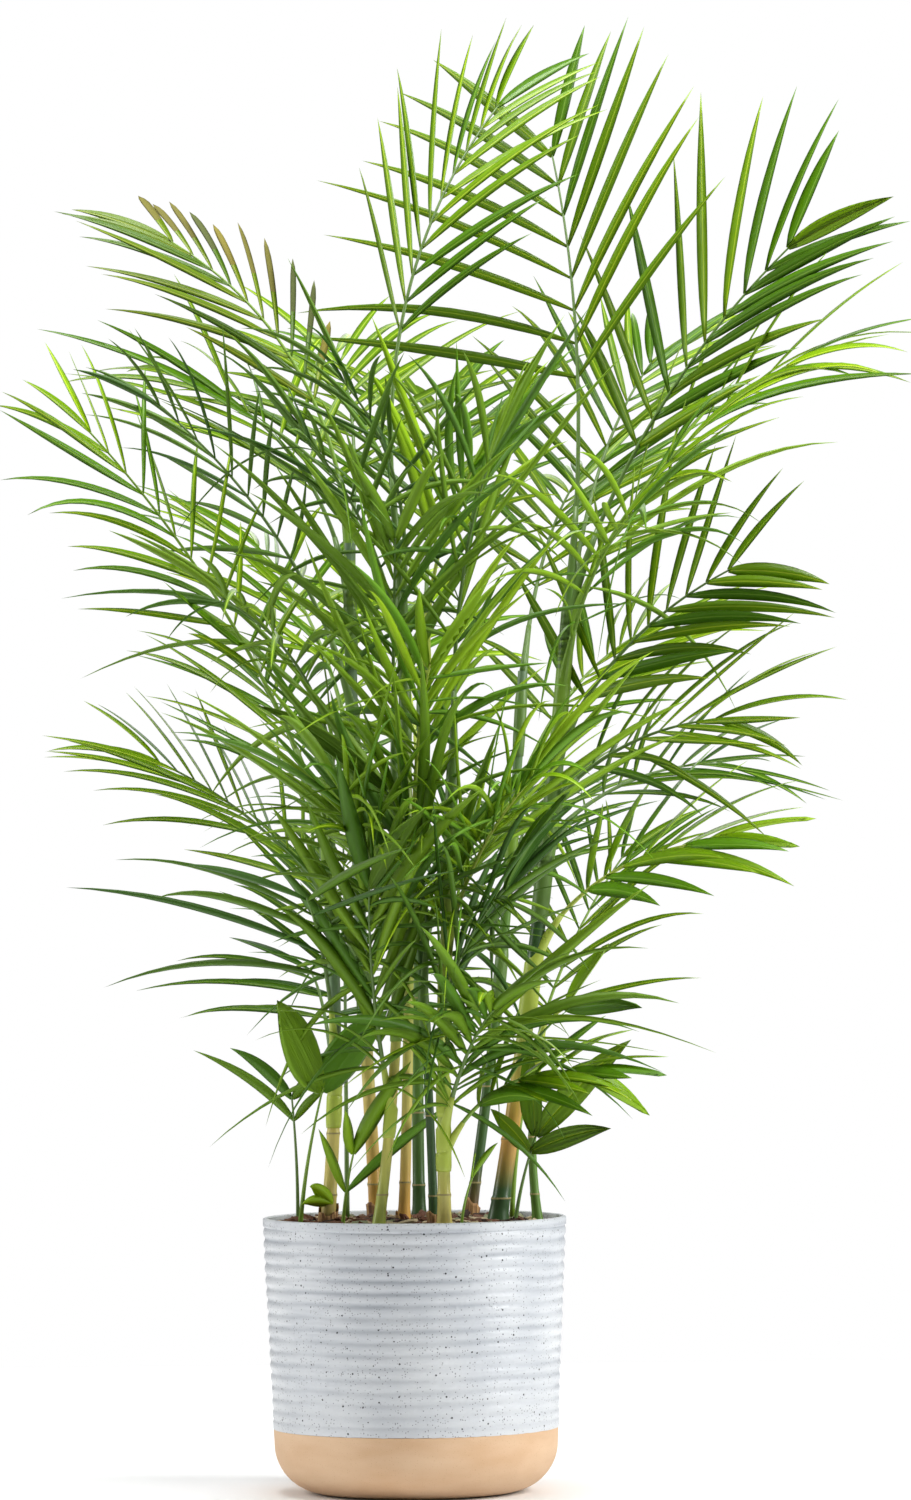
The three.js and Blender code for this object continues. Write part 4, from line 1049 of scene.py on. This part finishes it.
def leafy(frond, joined, dice):
    """All of a frond's leaflets, each with its own width, bend, fold, twist and tone."""
    count = frond["pairs"]
    loose = frond.get("loose", 1)
    for pair in range(count):
        last = pair == count - 1
        for hand in (1, -1):
            share, run, long, sag = leaflet_lie(frond, pair, hand)
            place, along, side, face = stem_frame(frond, share)
            wide = frond.get("width", SLENDER * frond["leaf"]) * dice.uniform(*WIDTH_VARIES)
            if last and count > 1:
                wide *= LAST_BROADER
            level = run.cross(face).normalized() * hand
            upper = level.cross(run) * hand
            lead = level * math.cos(LEAFLET_TURN) + upper * math.sin(LEAFLET_TURN)
            curl = (along * dice.gauss(*CURL_ALONG) + side * dice.gauss(*CURL_ASIDE)) * loose
            base = place + side * hand * stem_radius(frond, share) * LEAFLET_SUNK
            line = leaflet_line(base, run, long, sag, curl, dice.uniform(0, HOOK_MOST) * loose)
            twist = (dice.uniform(-TWIST_MOST, TWIST_MOST) * loose, hand)
            tone = dice.choices(range(len(TONES)), weights=TONE_SHARES)[0]
            blunt = (frond["name"], hand) == BLUNT_ROW
            fold = FOLD * dice.uniform(*FOLD_VARIES)
            grow_leaflet(joined, line, lead, wide, fold, twist, tone, blunt)
            if loose >= TANGLED and not last:
                for _ in range(LOW_STRAYS if frond["height"] < LOW_TANGLE else 1):
                    add_stray(frond, joined, dice, pair, hand, long)


LEAF_TINTS = {  # of the upper skin, the underside and the midrib
    "mid": ((92, 130, 1), (94, 130, 16), (142, 168, 40)),
    "deep": ((64, 104, 1), (72, 108, 18), (110, 142, 36)),
    "fresh": ((106, 146, 1), (108, 146, 16), (160, 186, 44)),
    "bright": ((124, 168, 1), (124, 162, 18), (170, 200, 50)),
    "olive": ((92, 118, 14), (96, 120, 34), (136, 152, 48)),
}
DRY_TIP = (112, 108, 46)


def toned(colour, tone):
    """A leaf colour in one of the tones in which leaflets differ from their neighbours."""
    red, green, blue = colour
    return min(red * tone[0], 250), min(green * tone[1], 250), blue + tone[2]


def blade_finish(name, colour, roughness):
    """Satin leaf skin with fine lengthwise veins that follow the blade."""
    finish = Finish(name, linear(*colour), roughness)
    surface_mark = finish.tree.nodes.new("ShaderNodeTexCoord").outputs["UV"]
    inputs = {"Vector": surface_mark, "Scale": (1, 0.006, 1)}
    mapping = finish.node("ShaderNodeMapping", inputs)
    veins = finish.node("ShaderNodeTexNoise", {"Vector": mapping.outputs[0], "Scale": 1400, "Detail": 2})
    finish.relief(veins.outputs["Fac"], 0.00025)
    satin = finish.between(veins.outputs["Fac"], 0.3, 0.7, roughness - 0.06, roughness + 0.08)
    finish.wire("Roughness", satin)
    finish.surface.inputs["Specular IOR Level"].default_value = 0.28
    return finish


# Two small yellow-green leaves sprout from the left cane's foot, each given by reach and width.
SUCKER_FOOT = Vector((-0.0695, -0.0235, 0.2465))
SUCKERS = [((-0.019, -0.016, 0.022), 0.013), ((-0.026, -0.014, 0.006), 0.012)]
SUCKER_LEAD = Vector((0, -0.5, 1))
SUCKER_HOOK = 0.2
SUCKER_TWIST = (0.3, -1)
PALE_TONE = 2

leaf_dice = random.Random(23)
for tint, (top, under, rib) in LEAF_TINTS.items():
    spray = Joined()
    members = [frond for frond in FRONDS if frond["tint"] == tint]
    for frond in members:
        leafy(frond, spray, leaf_dice)
    if tint == "bright":
        for reach, wide in SUCKERS:
            run = Vector(reach)
            line = leaflet_line(SUCKER_FOOT, run.normalized(), run.length, UP * 0, UP * 0, SUCKER_HOOK)
            grow_leaflet(spray, line, SUCKER_LEAD, wide, FOLD, SUCKER_TWIST, PALE_TONE)
    blades = spray.piece(f"leaflets_{tint}")
    finishes = []
    for number, tone in enumerate(TONES):
        sides = [("leaf", top, 0.32), ("midrib", rib, 0.4), ("underleaf", under, 0.5)]
        sides.append(("dry_tip", DRY_TIP, 0.7))
        for side, colour, roughness in sides:
            finishes.append(blade_finish(f"{side}_{tint}_{number}", toned(colour, tone), roughness))
    dress(blades, "leaf", *finishes)
    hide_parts(*[frond["name"] for frond in members])


# Studio. A plain pale floor under large soft lights from both sides and above, and a pale room.
STUDIO_FLOOR = 3
STUDIO_DROP = 0.0005
LIT_MIDDLE = Vector((0, 0, 0.6))
bpy.ops.object.select_all(action="DESELECT")
bpy.ops.mesh.primitive_plane_add(size=STUDIO_FLOOR, location=(0, 0, -STUDIO_DROP))
floor = bpy.context.object
floor.name = "studio_floor"
floor_finish = Finish("studio_floor", linear(246, 246, 246), 0.9)
floor.data.materials.append(floor_finish.material)


def soft_light(place, size, power):
    """A soft oblong light, turned to the middle of the plant."""
    bpy.ops.object.light_add(type="AREA", location=place)
    light = bpy.context.object
    light.data.shape = "RECTANGLE"
    light.data.size = size[0]
    light.data.size_y = size[1]
    light.data.energy = power
    light.rotation_euler = (LIT_MIDDLE - Vector(place)).to_track_quat("-Z", "Y").to_euler()


soft_light((-2.8, 0.1, 1.7), (1.0, 2.0), 54)
soft_light((2.4, -0.6, 1.7), (1.0, 2.0), 86)
soft_light((0, -0.45, 3.0), (1.2, 1.2), 78)
soft_light((0.4, 2.4, 2.0), (2.0, 1.6), 24)

ROOM_LIGHT = 0.2
world = bpy.data.worlds.new("studio_air")
world.use_nodes = True
air = world.node_tree
air.nodes["Background"].inputs["Color"].default_value = (1, 1, 1, 1)
seen = air.nodes.new("ShaderNodeLightPath").outputs["Is Camera Ray"]
strength = air.nodes.new("ShaderNodeMapRange")
strength.inputs["To Min"].default_value = ROOM_LIGHT
strength.inputs["To Max"].default_value = 1.0
air.links.new(seen, strength.inputs["Value"])
air.links.new(strength.outputs[0], air.nodes["Background"].inputs["Strength"])
bpy.context.scene.world = world
bpy.context.scene.view_settings.view_transform = "Standard"
